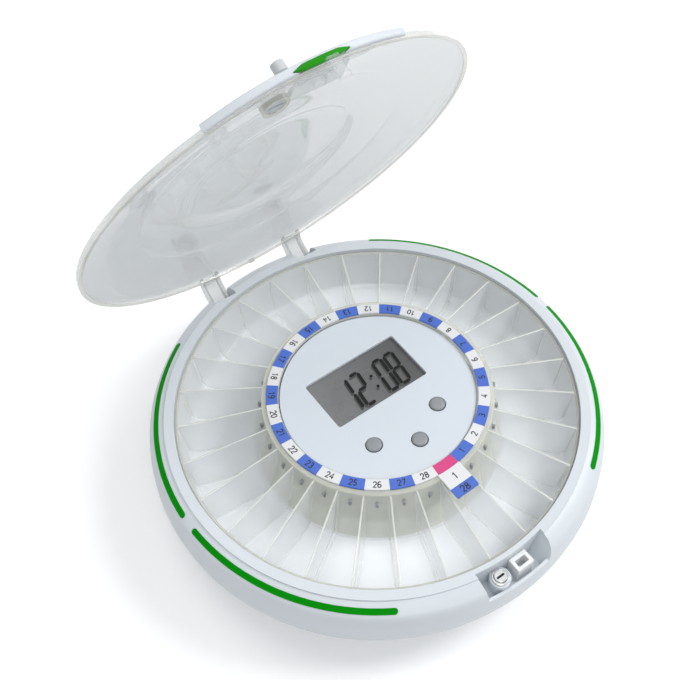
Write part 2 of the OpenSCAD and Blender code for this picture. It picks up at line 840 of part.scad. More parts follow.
// Along a cell's bay, from its spring end: dir is 1 or -1
module along_bay(i) {
    dir = i % 2 == 0 ? 1 : -1;
    translate([cell_x(i), box_mid_y, cell_z]) rotate([-90 * dir, 0, 0])
        translate([0, 0, -box_len / 2]) children();
}

nub_len = 1.2;
nub_r = 2.7;
contact_w = 9;
spring_r = [4, 3, 2.2];

module batteries() {
    for (i = [0 : cell_count - 1]) along_bay(i) translate([0, 0, contact_t + spring_len]) {
        color("darkorange") cylinder(r = cell_r, h = cell_len - nub_len);
        color("silver") translate([0, 0, cell_len - nub_len - eps]) cylinder(r = nub_r, h = nub_len + eps);
    }
}

module battery_contacts() {
    color("silver") for (i = [0 : cell_count - 1]) along_bay(i) for (z = [0, box_len - contact_t])
        translate([-contact_w / 2, -contact_w / 2, z]) cube([contact_w, contact_w, contact_t]);
}

module battery_springs() {
    color("silver") for (i = [0 : cell_count - 1]) along_bay(i) translate([0, 0, contact_t]) difference() {
        cylinder(r1 = spring_r[0], r2 = spring_r[1], h = spring_len);
        translate([0, 0, -1]) cylinder(r = spring_r[2], h = spring_len + 2);
    }
}

grip_count = 7;
grip_len = 24;
grip_step = 2;
grip_deep = 0.4;
grip_y = 14;

module battery_door() {
    color("whitesmoke") difference() {
        union() {
            door_outline(door_gap, foot_h, door_t);
            bay_block(-door_gap, foot_h + door_t - eps, floor_z - foot_h - door_t - door_gap);
        }
        translate([0, door_screw_y, 0]) cylinder(r = screw_r + screw_gap, h = floor_z + foot_h);
        for (i = [0 : grip_count - 1])
            let (y = box_mid_y - grip_y + (i - (grip_count - 1) / 2) * grip_step)
                translate([-grip_len / 2, y, foot_h - 1]) cube([grip_len, grip_step / 2, 1 + grip_deep]);
    }
}

slot_len = 3.2;
slot_w = 0.7;
slot_deep = 0.9;
tip_gap = 0.2;

// A screw, head down, with a slot for each angle
module screw(len, head_h, slots) {
    difference() {
        union() {
            cylinder(r = screw_head_r, h = head_h);
            cylinder(r = screw_r, h = len);
        }
        for (a = slots) rotate([0, 0, a]) translate([-slot_len / 2, -slot_w / 2, -1])
            cube([slot_len, slot_w, 1 + slot_deep]);
    }
}

module door_screw() {
    color("silver") translate([0, door_screw_y, foot_h - door_head_h])
        screw(floor_z + door_screw_grip - tip_gap - foot_h + door_head_h, door_head_h, [0]);
}

module shell_screws() {
    color("silver") at_screws() translate([0, 0, foot_h + screw_sink])
        screw(screw_top_z - foot_h - screw_sink - tip_gap, screw_head_h, [0, 90]);
}

module rubber_foot() {
    color([0.2, 0.2, 0.2]) ring(foot_in_r + foot_w, foot_in_r, 0, foot_h + foot_sink);
}

// The lid, drawn closed and then swung up about the hinge line
rim_edge_h = 1.7;
dome_in = 30.4;
plateau_in = 26.5;
dome_r = lid_r - dome_in;
plateau_r = dome_r - plateau_in;
rim_step = [[0.4, 1], [1.4, 1.8]];
dome_drop = [4.5, 3.7, 2.6, 0.8];
dome_w = 2;

module opened() {
    translate([0, hinge_y, hinge_z]) rotate([-lid_open, 0, 0]) translate([0, -hinge_y, -hinge_z]) children();
}

// Outside of the lid from its rim to the middle; cut moves it in by a wall
function lid_profile(cut) = [
    [lid_r - cut, lid_z + rim_edge_h - cut * 0.4],
    [lid_r - rim_step[0][0] - cut, lid_z + rim_edge_h + rim_step[0][1] - cut * 0.7],
    [lid_r - rim_step[1][0] - cut * 0.8, lid_z + rim_edge_h + rim_step[1][1] - cut],
    [dome_r - cut * 0.2, lid_z + lid_h - dome_drop[0] - cut],
    [dome_r - dome_w - cut * 0.2, lid_z + lid_h - dome_drop[1] - cut],
    [plateau_r + dome_w - cut * 0.2, lid_z + lid_h - dome_drop[2] - cut],
    [plateau_r - cut * 0.6, lid_z + lid_h - dome_drop[3] - cut],
    [0, lid_z + lid_h - cut]];

module lid_solid() {
    rotate_extrude($fn = 180) polygon(concat([[0, lid_z], [lid_r, lid_z]], lid_profile(0)));
}

rear_tab = [3, 1.2, 1.6];

module lid_shell() {
    color([0.82, 0.84, 0.85, 0.4]) opened() {
        rotate_extrude($fn = 180)
            polygon(concat([[lid_r - lid_wall, lid_z], [lid_r, lid_z]],
                           lid_profile(0), flip(lid_profile(lid_wall))));
        translate([-rear_tab[0] / 2, lid_r - 0.3, lid_z]) cube([rear_tab[0], rear_tab[1] + 0.3, rear_tab[2]]);
    }
}

arm_out = bend([lid_r - 4.5, lid_z + rim_edge_h + 2.2], [hinge_y + 1.5, lid_z + rim_edge_h + 2.4],
               [hinge_y + knuckle_r, hinge_z], 6);
arm_in = bend([hinge_y - knuckle_r, hinge_z], [hinge_y - knuckle_r + 0.6, lid_z - 0.4],
              [lid_r - 2.6, lid_z + 0.3], 6);

module hinge_arms() {
    color([0.85, 0.86, 0.86, 0.5]) opened() difference() {
        for (s = [-1, 1]) translate([s * arm_mid, 0, 0]) union() {
            translate([arm_w / 2, 0, 0]) rotate([90, 0, -90]) mirror([1, 0, 0])
                linear_extrude(arm_w) polygon(concat(arm_out, arm_in));
            translate([0, hinge_y, hinge_z]) rotate([0, 90, 0])
                cylinder(r = knuckle_r, h = arm_w, center = true);
        }
        lid_solid();
        at_hinges() rotate([0, 90, 0]) cylinder(r = pin_r + bore_gap, h = arm_w + 2, center = true, $fn = 48);
    }
}

module hinge_pins() {
    color("silver") at_hinges() rotate([0, 90, 0]) cylinder(r = pin_r, h = pin_len, center = true, $fn = 48);
}

trim_r = lid_r + trim_t;
trim_lift = 0.7;
trim_low = lid_z + trim_lift;
trim_top = lid_z + trim_h;
trim_bulge = 10;
trim_depth = 3.5;
press_x = -1.5;
button_len = 24;
button_low = lid_z + 0.2;
button_h = 2.7;
lens_h = 3.8;
press_t = 1.6;
button_proud = 0.6;
button_out_r = trim_r + button_proud;
lens_gap = 0.4;
button_in_r = button_out_r - press_t;

// The button's outline seen from the front: pointed at both ends, grown by a gap
module lens(grow) {
    half = button_len / 2 + grow;
    lens_r = (half * half / (lens_h / 2 + grow) + lens_h / 2 + grow) / 2;
    shift = lens_r - lens_h / 2 - grow;
    intersection_for (s = [-1, 1])
        translate([press_x, -lid_r + trim_depth, button_low + button_h / 2 + s * shift])
            rotate([90, 0, 0]) cylinder(r = lens_r, h = 4 * trim_depth, $fn = 180);
}

module lid_trim() {
    color("white") opened() difference() {
        rotate([0, 0, -90 - trim_turn]) translate([trim_bulge, 0, 0]) rotate([0, 0, -trim_half])
            rotate_extrude(angle = 2 * trim_half, $fn = 180) translate([-trim_bulge, 0])
                polygon([[lid_r - trim_depth, trim_low], [trim_r - 0.4, trim_low], [trim_r, trim_low + 0.5],
                         [trim_r, trim_top - 0.9], [trim_r - 0.8, trim_top], [lid_r - trim_depth, trim_top]]);
        lid_solid();
        intersection() {
            ring(trim_r + 5, lid_r + 0.5, button_low - 2, button_h + 2 + rest_gap);
            lens(lens_gap);
        }
        translate([press_x - button_len / 4 - 3, -trim_r - 2, button_low - 2])
            cube([button_len / 2 + 6, trim_t + 1.5, 2 + button_h / 2]);
    }
}

module release_button() {
    color("green") opened() intersection() {
        ring(button_out_r, button_in_r, button_low, button_h);
        lens(0);
    }
}

latch_out = 5.6;
latch_y = lid_r + latch_out;
hook_w = 4.8;
hook_t = 1.4;
barb_d = 0.8;
barb_h = 2;
barb_rise = 5.5;
barb_z = pocket_z + barb_rise;
arm_h = 1.2;
hook_in = 0.2;
catch_gap = 0.2;

// Leg that hangs from the button and hooks under the catch
module latch_hook() {
    color([0.85, 0.86, 0.86]) opened() translate([latch_x + hook_w / 2, 0, 0]) rotate([90, 0, -90])
        linear_extrude(hook_w)
            polygon([[button_in_r + hook_in, button_low], [latch_y, button_low], [latch_y, barb_z + barb_h],
                     [latch_y + barb_d, barb_z + barb_h], [latch_y + barb_d, barb_z + 0.6], [latch_y, barb_z],
                     [latch_y - hook_t, barb_z], [latch_y - hook_t, button_low - arm_h],
                     [button_in_r + hook_in, button_low - arm_h]]);
}

// Small clear frame that guides the latch, under the front of the lid
guide_x = -10;
guide_size = [24, 13];
guide_in = 9.4;
guide_rise = 2.3;
guide_slot = [[-7.5, 2.4], [13.5, 1.4]];
guide_window = [[0.5, 5.5], [5, 5]];
guide_hole = [8.2, 4];
guide_hole_r = 1.6;

module latch_guide() {
    color([0.85, 0.86, 0.86, 0.5]) opened() intersection() {
        lid_cavity();
        translate([0, guide_in - lid_r, lid_z]) difference() {
            translate([guide_x, 0, guide_rise]) cube([guide_size[0], guide_size[1], lid_h]);
            for (cut = [guide_slot, guide_window])
                translate([cut[0][0], cut[0][1], 0]) cube([cut[1][0], cut[1][1], lid_h]);
            translate([guide_hole[0], guide_hole[1], 0]) cylinder(r = guide_hole_r, h = lid_h);
        }
    }
}

module lid_cavity() {
    rotate_extrude($fn = 180)
        polygon(concat([[0, lid_z - 1], [lid_r - lid_wall, lid_z - 1]], lid_profile(lid_wall)));
}

boss_pos = [-16, 21.4 - lid_r];
boss_out_r = 6;
boss_in_r = 4.4;
boss_rise = 1.6;
boss_head = 0.8;

module lid_boss() {
    color([0.85, 0.86, 0.82, 0.5]) opened() intersection() {
        lid_cavity();
        translate([boss_pos[0], boss_pos[1], lid_z + boss_rise]) tube(boss_out_r, boss_in_r, lid_h);
    }
}

module boss_screw() {
    color("gray") opened() intersection() {
        lid_cavity();
        translate([boss_pos[0], boss_pos[1], lid_z + boss_rise + boss_head]) difference() {
            cylinder(r = boss_in_r, h = lid_h);
            translate([boss_head - boss_in_r, -slot_w / 2, -1])
                cube([2 * (boss_in_r - boss_head), slot_w, 1 + slot_deep]);
        }
    }
}

stud_pos = [-15.5, 1.6 - lid_r];
stud_r = 2.8;
stud_h = 4.4;
stud_rim = 1;
stud_dish = 0.8;

module lift_stud() {
    color("lightgray") opened() translate([stud_pos[0], stud_pos[1], trim_top]) difference() {
        cylinder(r = stud_r, h = stud_h);
        translate([0, 0, stud_h - stud_dish]) cylinder(r = stud_r - stud_rim, h = stud_h);
    }
}

catch_size = [9, 6.8, 10];
catch_wall = 1.8;
catch_front = latch_y + catch_wall;
catch_floor = 3;
hook_gap = 0.4;
back_gap = 0.6;

module latch_catch() {
    mouth_w = hook_w + 2 * hook_gap;
    slot_front = latch_y + catch_gap;
    slot_back = latch_y - hook_t - press_travel - back_gap;
    room_front = latch_y + barb_d + hook_gap;
    color("white") difference() {
        translate([latch_x - catch_size[0] / 2, -catch_front, pocket_z]) cube(catch_size);
        translate([latch_x - mouth_w / 2, -slot_front, pocket_z + catch_floor])
            cube([mouth_w, slot_front - slot_back, catch_size[2]]);
        translate([latch_x - mouth_w / 2, -room_front, pocket_z + catch_floor])
            cube([mouth_w, room_front - slot_back, barb_rise + barb_h + hook_gap - catch_floor]);
    }
}

plug_r = 2.9;
plug_proud = 0.8;
lock_low = seam_z;
lock_rise = 9.6;
lock_top = pocket_z + lock_rise;
key_w = 0.9;
key_deep = 5;
cam_t = 1.4;
cam_drop = 1.6;
cam_hub_r = 2.6;
cam_end_r = 1.5;
cam_len = 3.4;
spindle_r = 1.6;

module lock_barrel() {
    color("silver") translate([lock_x, -lock_y, lock_low])
        tube(lock_r, plug_r + bore_gap, lock_top - lock_low);
}

module lock_plug() {
    color("gold") translate([lock_x, -lock_y, lock_low - run_gap]) difference() {
        union() {
            cylinder(r = plug_r, h = lock_top - lock_low + plug_proud);
            translate([0, 0, -cam_drop]) cylinder(r = spindle_r, h = cam_drop + eps);
        }
        translate([key_w - plug_r, -key_w / 2, lock_top - lock_low - key_deep])
            cube([2 * (plug_r - key_w), key_w, 2 * key_deep]);
    }
}

module lock_cam() {
    color("silver") translate([lock_x, -lock_y, lock_low - run_gap - cam_drop]) difference() {
        hull() {
            cylinder(r = cam_hub_r, h = cam_t, $fn = 32);
            translate([0, cam_len, 0]) cylinder(r = cam_end_r, h = cam_t, $fn = 32);
        }
        translate([0, 0, -1]) cylinder(r = spindle_r, h = cam_t + 2);
    }
}

bottom_shell();
upper_shell();
light_strips();
strip_boards();
hub_housing();
control_panel();
lcd_glass();
lcd_connectors();
circuit_board();
controller_chip();
button_switches();
buzzer();
button_left();
button_middle();
button_right();
motor();
motor_bracket();
gear_pin();
drive_gear();
motor_pinion();
ring_gear();
turntable();
turntable_spigot();
glide_ring();
index_sensor();
battery_box();
batteries();
battery_contacts();
battery_springs();
battery_door();
door_screw();
shell_screws();
rubber_foot();
tray_floor();
tray_outer_wall();
tray_inner_wall();
tray_dividers();
tray_nibs();
number_ring();
ring_tab();
lid_shell();
hinge_arms();
hinge_pins();
lid_trim();
lift_stud();
lid_boss();
boss_screw();
latch_guide();
release_button();
latch_hook();
latch_catch();
lock_barrel();
lock_plug();
lock_cam();
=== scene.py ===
# Round pill dispenser with its lid up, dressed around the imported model.
# Sizes are in millimetres, as in the part's source, unless a comment says metres.
import math
import bmesh
import bpy
from mathutils import Matrix, Vector


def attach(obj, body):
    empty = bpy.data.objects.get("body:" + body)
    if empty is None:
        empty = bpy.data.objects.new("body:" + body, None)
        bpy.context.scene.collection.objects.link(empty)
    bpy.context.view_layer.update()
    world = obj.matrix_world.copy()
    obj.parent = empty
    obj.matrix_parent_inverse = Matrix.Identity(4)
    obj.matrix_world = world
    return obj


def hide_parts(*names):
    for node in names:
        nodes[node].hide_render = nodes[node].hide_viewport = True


mm = 0.001
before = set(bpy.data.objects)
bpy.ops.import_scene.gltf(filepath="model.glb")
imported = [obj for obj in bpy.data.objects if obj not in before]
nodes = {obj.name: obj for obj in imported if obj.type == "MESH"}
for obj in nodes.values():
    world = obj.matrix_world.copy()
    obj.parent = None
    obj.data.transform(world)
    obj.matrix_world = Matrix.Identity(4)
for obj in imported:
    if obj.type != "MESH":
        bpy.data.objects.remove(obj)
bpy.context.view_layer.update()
print("frame loaded:", len(nodes), "solids")

# where the photo was taken from; clip is in metres
view = {
    "place": (-158.1, -213.8, 441.6),
    "right": (0.79219782, -0.6100289, 0.01695127),
    "down": (-0.47644634, -0.63560423, -0.60745877),
    "forward": (0.38134171, 0.47315114, -0.79417032),
    "lens": 52.7, "sensor": 36, "shift": (-0.0928, -0.0046), "clip": (0.01, 20),
}


def link(obj):
    bpy.context.scene.collection.objects.link(obj)
    return obj


def makeCamera():
    data = bpy.data.cameras.new("camera")
    data.lens = view["lens"]
    data.sensor_width = view["sensor"]
    data.shift_x, data.shift_y = view["shift"]
    data.clip_start, data.clip_end = view["clip"]
    cam = link(bpy.data.objects.new("camera", data))
    right, down, forward = (Vector(view[k]) for k in ("right", "down", "forward"))
    turn = Matrix((right, -down, -forward)).transposed().to_4x4()
    cam.matrix_world = Matrix.Translation(Vector(view["place"]) * mm) @ turn
    bpy.context.scene.camera = cam


makeCamera()


def emptyMaterial(name):
    mat = bpy.data.materials.new(name)
    mat.use_nodes = True
    mat.node_tree.nodes.clear()
    return mat, mat.node_tree, mat.node_tree.nodes.new("ShaderNodeOutputMaterial")


def newMaterial(name):
    mat, tree, out = emptyMaterial(name)
    shader = tree.nodes.new("ShaderNodeBsdfPrincipled")
    tree.links.new(shader.outputs[0], out.inputs[0])
    return mat, tree, shader


def noiseOf(tree, scale, detail=3.0):
    place = tree.nodes.new("ShaderNodeTexCoord")
    noise = tree.nodes.new("ShaderNodeTexNoise")
    noise.inputs["Scale"].default_value = scale
    noise.inputs["Detail"].default_value = detail
    tree.links.new(place.outputs["Object"], noise.inputs["Vector"])
    return noise.outputs["Fac"]


def rangeOf(tree, value, low, high, start=0.3, stop=0.7):
    node = tree.nodes.new("ShaderNodeMapRange")
    node.inputs["From Min"].default_value = start
    node.inputs["From Max"].default_value = stop
    node.inputs["To Min"].default_value = low
    node.inputs["To Max"].default_value = high
    tree.links.new(value, node.inputs["Value"])
    return node.outputs["Result"]


def setOrLink(tree, socket, value):
    if isinstance(value, bpy.types.NodeSocket):
        tree.links.new(value, socket)
    else:
        socket.default_value = (*value, 1) if isinstance(value, tuple) else value


def mathOf(tree, operation, *values):
    node = tree.nodes.new("ShaderNodeMath")
    node.operation = operation
    for socket, value in zip(node.inputs, values):
        setOrLink(tree, socket, value)
    return node.outputs[0]


def mixOf(tree, share, first, second):
    node = tree.nodes.new("ShaderNodeMix")
    node.data_type = "RGBA"
    tree.links.new(share, node.inputs[0])
    setOrLink(tree, node.inputs[6], first)
    setOrLink(tree, node.inputs[7], second)
    return node.outputs[2]


def axisOf(tree, kind, axis):
    place = tree.nodes.new("ShaderNodeTexCoord")
    split = tree.nodes.new("ShaderNodeSeparateXYZ")
    tree.links.new(place.outputs[kind], split.inputs[0])
    return split.outputs[axis]


def grain(tree, shader, scale, depth):
    bump = tree.nodes.new("ShaderNodeBump")
    bump.inputs["Strength"].default_value = depth
    bump.inputs["Distance"].default_value = 0.1 * mm
    tree.links.new(noiseOf(tree, scale, 2.0), bump.inputs["Height"])
    tree.links.new(bump.outputs[0], shader.inputs["Normal"])


def linear(code):
    rgb = [int(code[i:i + 2], 16) / 255 for i in (0, 2, 4)]
    return tuple(c / 12.92 if c <= 0.04045 else ((c + 0.055) / 1.055) ** 2.4 for c in rgb)


def patchTint(tree, colour, shade, patchScale):
    light = linear(colour)
    return mixOf(tree, noiseOf(tree, patchScale), tuple(c * shade for c in light), light)


def plastic(name, colour, shade=0.96, rough=(0.32, 0.42), grainScale=2200, grainDepth=0.12, spec=0.5,
            metal=0.0):
    patchScale = 45
    mat, tree, shader = newMaterial(name)
    tree.links.new(patchTint(tree, colour, shade, patchScale), shader.inputs["Base Color"])
    tree.links.new(rangeOf(tree, noiseOf(tree, patchScale * 3), *rough), shader.inputs["Roughness"])
    shader.inputs["Metallic"].default_value = metal
    shader.inputs["Specular IOR Level"].default_value = spec
    grain(tree, shader, grainScale, grainDepth)
    return mat


# what all clear plastics share; topSlope is how steeply a face must point up to look like a rim
clearLook = {"patchScale": 60, "edgeBlend": 0.35, "topSlope": (0.45, 0.8), "rippleScale": 22,
             "rippleDepth": 0.03}


def clearPlastic(name, colour, alpha, rough=(0.06, 0.14), shade=0.96, spec=0.5, topAlpha=None, topColour=None,
                 passes=0.7, ior=1.5):
    g = clearLook
    mat, tree, shader = newMaterial(name)
    tint = patchTint(tree, colour, shade, g["patchScale"])
    tree.links.new(rangeOf(tree, noiseOf(tree, g["patchScale"] * 2), *rough), shader.inputs["Roughness"])
    edge = tree.nodes.new("ShaderNodeLayerWeight")
    edge.inputs["Blend"].default_value = g["edgeBlend"]
    seen = rangeOf(tree, edge.outputs["Facing"], *alpha, 0.0, 1.0)
    if topAlpha:
        upward = rangeOf(tree, axisOf(tree, "Normal", "Z"), 0.0, 1.0, *g["topSlope"])
        lift = tree.nodes.new("ShaderNodeMix")
        lift.inputs[3].default_value = topAlpha
        tree.links.new(upward, lift.inputs[0])
        tree.links.new(seen, lift.inputs[2])
        seen = lift.outputs[0]
        tint = mixOf(tree, upward, tint, linear(topColour))
    # clear plastic scatters light onward, so its shadow is thinner than its look
    path = tree.nodes.new("ShaderNodeLightPath")
    thin = mathOf(tree, "MULTIPLY_ADD", path.outputs["Is Shadow Ray"], -passes, 1.0)
    tree.links.new(tint, shader.inputs["Base Color"])
    tree.links.new(mathOf(tree, "MULTIPLY", seen, thin), shader.inputs["Alpha"])
    shader.inputs["Specular IOR Level"].default_value = spec
    shader.inputs["IOR"].default_value = ior
    grain(tree, shader, g["rippleScale"], g["rippleDepth"])
    return mat


# the display is painted lighter to one side, a painted shade for how light falls across it, with soft clouds of
# random tone; across is in metres
glassLook = {"across": (-0.022, 0.03), "cloudScale": 90, "cloudShare": 0.5, "shadeAndClouds": (0.2, 1.3),
             "roughScale": 120, "rough": (0.25, 0.32), "spec": 0.35, "grainScale": 1500, "grainDepth": 0.03}


def displayGlass(name, dark, light):
    g = glassLook
    mat, tree, shader = newMaterial(name)
    # painted shade: lighter towards -x and darker towards +x, then mixed with the clouds
    across = rangeOf(tree, axisOf(tree, "Object", "X"), 1.0, 0.0, *g["across"])
    cloud = mathOf(tree, "MULTIPLY_ADD", noiseOf(tree, g["cloudScale"], 4.0), g["cloudShare"], across)
    shadeAndClouds = rangeOf(tree, cloud, 0.0, 1.0, *g["shadeAndClouds"])
    tree.links.new(mixOf(tree, shadeAndClouds, linear(dark), linear(light)), shader.inputs["Base Color"])
    tree.links.new(rangeOf(tree, noiseOf(tree, g["roughScale"]), *g["rough"]), shader.inputs["Roughness"])
    shader.inputs["Specular IOR Level"].default_value = g["spec"]
    grain(tree, shader, g["grainScale"], g["grainDepth"])
    return mat


solidLooks = {
    "shellWhite": {"colour": "d3d9de", "rough": (0.34, 0.42), "spec": 0.4},
    "partWhite": {"colour": "ebedee", "rough": (0.4, 0.5), "spec": 0.35},
    "panelWhite": {"colour": "d5dce3", "shade": 0.98, "rough": (0.42, 0.5), "spec": 0.3},
    "stripGreen": {"colour": "028e0a", "shade": 0.9, "rough": (0.5, 0.6), "spec": 0.05, "grainScale": 900,
                   "grainDepth": 0.06},
    "buttonGreen": {"colour": "1d8f06", "shade": 0.85, "rough": (0.3, 0.4), "spec": 0.15, "grainScale": 900,
                    "grainDepth": 0.06},
    "lcdInk": {"colour": "101010", "shade": 0.7, "rough": (0.3, 0.4), "spec": 0.25},
    "lcdShade": {"colour": "4b4c4c", "shade": 0.85, "rough": (0.3, 0.4), "spec": 0.3},
    "buttonGrey": {"colour": "8f9498", "shade": 0.92, "rough": (0.35, 0.45), "grainScale": 1800,
                   "grainDepth": 0.15},
    "studGrey": {"colour": "c3c8ca", "shade": 0.93, "rough": (0.25, 0.35)},
    "nibGrey": {"colour": "8f9294", "shade": 0.9, "rough": (0.3, 0.4)},
    "cellBlue": {"colour": "5072cc", "shade": 0.94, "rough": (0.35, 0.45), "spec": 0.25, "grainScale": 3000,
                 "grainDepth": 0.08},
    "cellWhite": {"colour": "e4e5e6", "shade": 0.97, "rough": (0.35, 0.45), "spec": 0.25, "grainScale": 3000,
                  "grainDepth": 0.08},
    "cellPink": {"colour": "d94a86", "shade": 0.95, "rough": (0.35, 0.45), "spec": 0.25, "grainScale": 3000,
                 "grainDepth": 0.08},
    "printInk": {"colour": "202026", "shade": 0.7, "rough": (0.5, 0.6), "grainScale": 3000, "grainDepth": 0.05},
    "rubberDark": {"colour": "2b2c2e", "shade": 0.75, "rough": (0.7, 0.85), "grainScale": 1500,
                   "grainDepth": 0.4},
    "boardGreen": {"colour": "1d6b3a", "shade": 0.8, "rough": (0.35, 0.5), "grainScale": 800,
                   "grainDepth": 0.2},
    "partBlack": {"colour": "1c1d1f", "shade": 0.75, "rough": (0.4, 0.55), "grainScale": 1200,
                  "grainDepth": 0.2},
    "linkPink": {"colour": "d97f94", "shade": 0.85, "rough": (0.5, 0.6)},
    "steel": {"colour": "c4c6c8", "shade": 0.85, "rough": (0.2, 0.32), "metal": 1.0, "grainScale": 1500,
              "grainDepth": 0.06},
    "springSteel": {"colour": "a9acae", "shade": 0.8, "rough": (0.25, 0.4), "metal": 1.0, "grainScale": 1500,
                    "grainDepth": 0.06},
    "gearBrass": {"colour": "c9a45a", "shade": 0.8, "rough": (0.28, 0.4), "metal": 1.0, "grainScale": 1500,
                  "grainDepth": 0.08},
    "lockChrome": {"colour": "d9dbdd", "shade": 0.8, "rough": (0.08, 0.16), "metal": 1.0, "grainScale": 700,
                   "grainDepth": 0.05},
    "cellSleeve": {"colour": "3b4c78", "shade": 0.8, "rough": (0.3, 0.4), "grainScale": 1200,
                   "grainDepth": 0.06},
}
# alpha is for a face seen straight on and for one seen edge on
clearLooks = {
    "trayClear": {"colour": "f2f5f7", "alpha": (0.68, 0.82), "shade": 0.98},
    "coneClear": {"colour": "f2f5f5", "alpha": (0.6, 0.75), "shade": 0.98},
    "trayRim": {"colour": "dddecf", "alpha": (0.45, 0.65)},
    "dividerClear": {"colour": "f1f4f5", "alpha": (0.24, 0.46), "shade": 0.98, "topAlpha": 0.55,
                     "topColour": "e6e7dd"},
    "cornerClear": {"colour": "f1f3f0", "alpha": (0.25, 0.45), "shade": 0.98},
    "lidClear": {"colour": "c2c8c9", "alpha": (0.26, 0.66), "rough": (0.02, 0.05), "spec": 0.9, "passes": 0.1,
                 "ior": 1.9},
    "lidRim": {"colour": "d3d3c8", "alpha": (0.45, 0.72), "rough": (0.03, 0.07), "spec": 0.9, "passes": 0.1,
               "ior": 1.9},
    "armClear": {"colour": "c2c6c6", "alpha": (0.34, 0.8), "spec": 0.7},
    "hookClear": {"colour": "dde0e0", "alpha": (0.1, 0.5), "spec": 0.7},
    "guideClear": {"colour": "dfe2e2", "alpha": (0.3, 0.75), "spec": 0.9},
}
finish = {name: plastic(name, **look) for name, look in solidLooks.items()}
finish.update({name: clearPlastic(name, **look) for name, look in clearLooks.items()})
# dark and light are the shaded and lit ends of the display's painted shade
finish["lcdGrey"] = displayGlass("lcdGrey", dark="555656", light="7a7b7b")
print("materials made:", len(finish))


def meshObject(name, verts, faces, mats, matIndex=None):
    mesh = bpy.data.meshes.new(name)
    mesh.from_pydata([Vector(v) * mm for v in verts], [], faces)
    for m in mats:
        mesh.materials.append(m)
    if matIndex:
        mesh.polygons.foreach_set("material_index", matIndex)
    mesh.update()
    return link(bpy.data.objects.new(name, mesh))


def seenBy(tree):
    # camera, mirror and glass rays all meet the white background
    path = tree.nodes.new("ShaderNodeLightPath")
    total = path.outputs["Is Camera Ray"]
    for kind in ("Is Glossy Ray", "Is Transmission Ray"):
        total = mathOf(tree, "MAXIMUM", total, path.outputs[kind])
    return total


# the shadow shows near the object, and the floor turns to plain white further out; nearFar is in metres
floor = {"half": 3000, "drop": 0.05, "colour": (0.86, 0.86, 0.86), "glow": (0.2, 1.0), "nearFar": (0.2, 0.8)}


def makeFloor():
    f = floor
    mat, tree, out = emptyMaterial("floorPale")
    base = tree.nodes.new("ShaderNodeBsdfDiffuse")
    base.inputs["Color"].default_value = (*f["colour"], 1)
    glow = tree.nodes.new("ShaderNodeEmission")
    place = tree.nodes.new("ShaderNodeTexCoord")
    away = tree.nodes.new("ShaderNodeVectorMath")
    away.operation = "LENGTH"
    tree.links.new(place.outputs["Object"], away.inputs[0])
    tree.links.new(rangeOf(tree, away.outputs["Value"], *f["glow"], *f["nearFar"]), glow.inputs["Strength"])
    both = tree.nodes.new("ShaderNodeAddShader")
    pick = tree.nodes.new("ShaderNodeMixShader")
    tree.links.new(base.outputs[0], both.inputs[0])
    tree.links.new(glow.outputs[0], both.inputs[1])
    tree.links.new(seenBy(tree), pick.inputs["Fac"])
    tree.links.new(base.outputs[0], pick.inputs[1])
    tree.links.new(both.outputs[0], pick.inputs[2])
    tree.links.new(pick.outputs[0], out.inputs[0])
    corners = [(x * f["half"], y * f["half"], -f["drop"]) for x, y in ((-1, -1), (1, -1), (1, 1), (-1, 1))]
    meshObject("floor", corners, [(0, 1, 2, 3)], [mat])


# light is what the sky sends onto the object, seen is what shows behind it
sky = {"light": ((0.93, 0.96, 1.0), 0.37), "seen": ((1.0, 1.0, 1.0), 1.0)}


def makeWorld():
    world = bpy.data.worlds.new("studio")
    bpy.context.scene.world = world
    world.use_nodes = True
    tree = world.node_tree
    tree.nodes.clear()
    out = tree.nodes.new("ShaderNodeOutputWorld")
    pick = tree.nodes.new("ShaderNodeMixShader")
    tree.links.new(seenBy(tree), pick.inputs["Fac"])
    for slot, kind in ((1, "light"), (2, "seen")):
        colour, strength = sky[kind]
        back = tree.nodes.new("ShaderNodeBackground")
        back.inputs["Color"].default_value = (*colour, 1)
        back.inputs["Strength"].default_value = strength
        tree.links.new(back.outputs[0], pick.inputs[slot])
    tree.links.new(pick.outputs[0], out.inputs[0])


# round soft lamps: places and sizes in metres
lamps = {
    "keyLamp": {"place": (1.5, -0.6, 1.75), "size": 1.0, "watts": 28},
    "topLamp": {"place": (0.0, 0.6, 2.15), "size": 1.3, "watts": 13},
    "fillLamp": {"place": (-0.7, -1.3, 1.9), "size": 1.2, "watts": 13},
}
lampAim = (0, 0, 0.05)


def softbox(name, place, size, watts):
    data = bpy.data.lights.new(name, "AREA")
    data.shape = "DISK"
    data.size = size
    data.energy = watts
    lamp = link(bpy.data.objects.new(name, data))
    lamp.location = Vector(place)
    lamp.rotation_mode = "QUATERNION"
    lamp.rotation_quaternion = (Vector(lampAim) - Vector(place)).to_track_quat("-Z", "Y")


makeFloor()
makeWorld()
for name, lamp in lamps.items():
    softbox(name, **lamp)
scene = bpy.context.scene
scene.view_settings.view_transform = "Standard"
# a ray crosses many clear walls
scene.cycles.transparent_max_bounces = 40
print("floor and lamps set")

# the lid's axis and how far it stands open, in degrees
hinge = {"y": 103.0, "z": 33.3, "open": 65}


def openLid(p):
    y, z = p[1] - hinge["y"], p[2] - hinge["z"]
    a = math.radians(-hinge["open"])
    return (p[0], hinge["y"] + y * math.cos(a) - z * math.sin(a),
            hinge["z"] + y * math.sin(a) + z * math.cos(a))


def turned(x, y, z, a):
    return (x * math.cos(a) - y * math.sin(a), x * math.sin(a) + y * math.cos(a), z)


def bend(a, b, c, n):
    out = []
    for i in range(n + 1):
        t = i / n
        out.append(tuple((1 - t) ** 2 * a[k] + 2 * t * (1 - t) * b[k] + t * t * c[k] for k in (0, 1)))
    return out


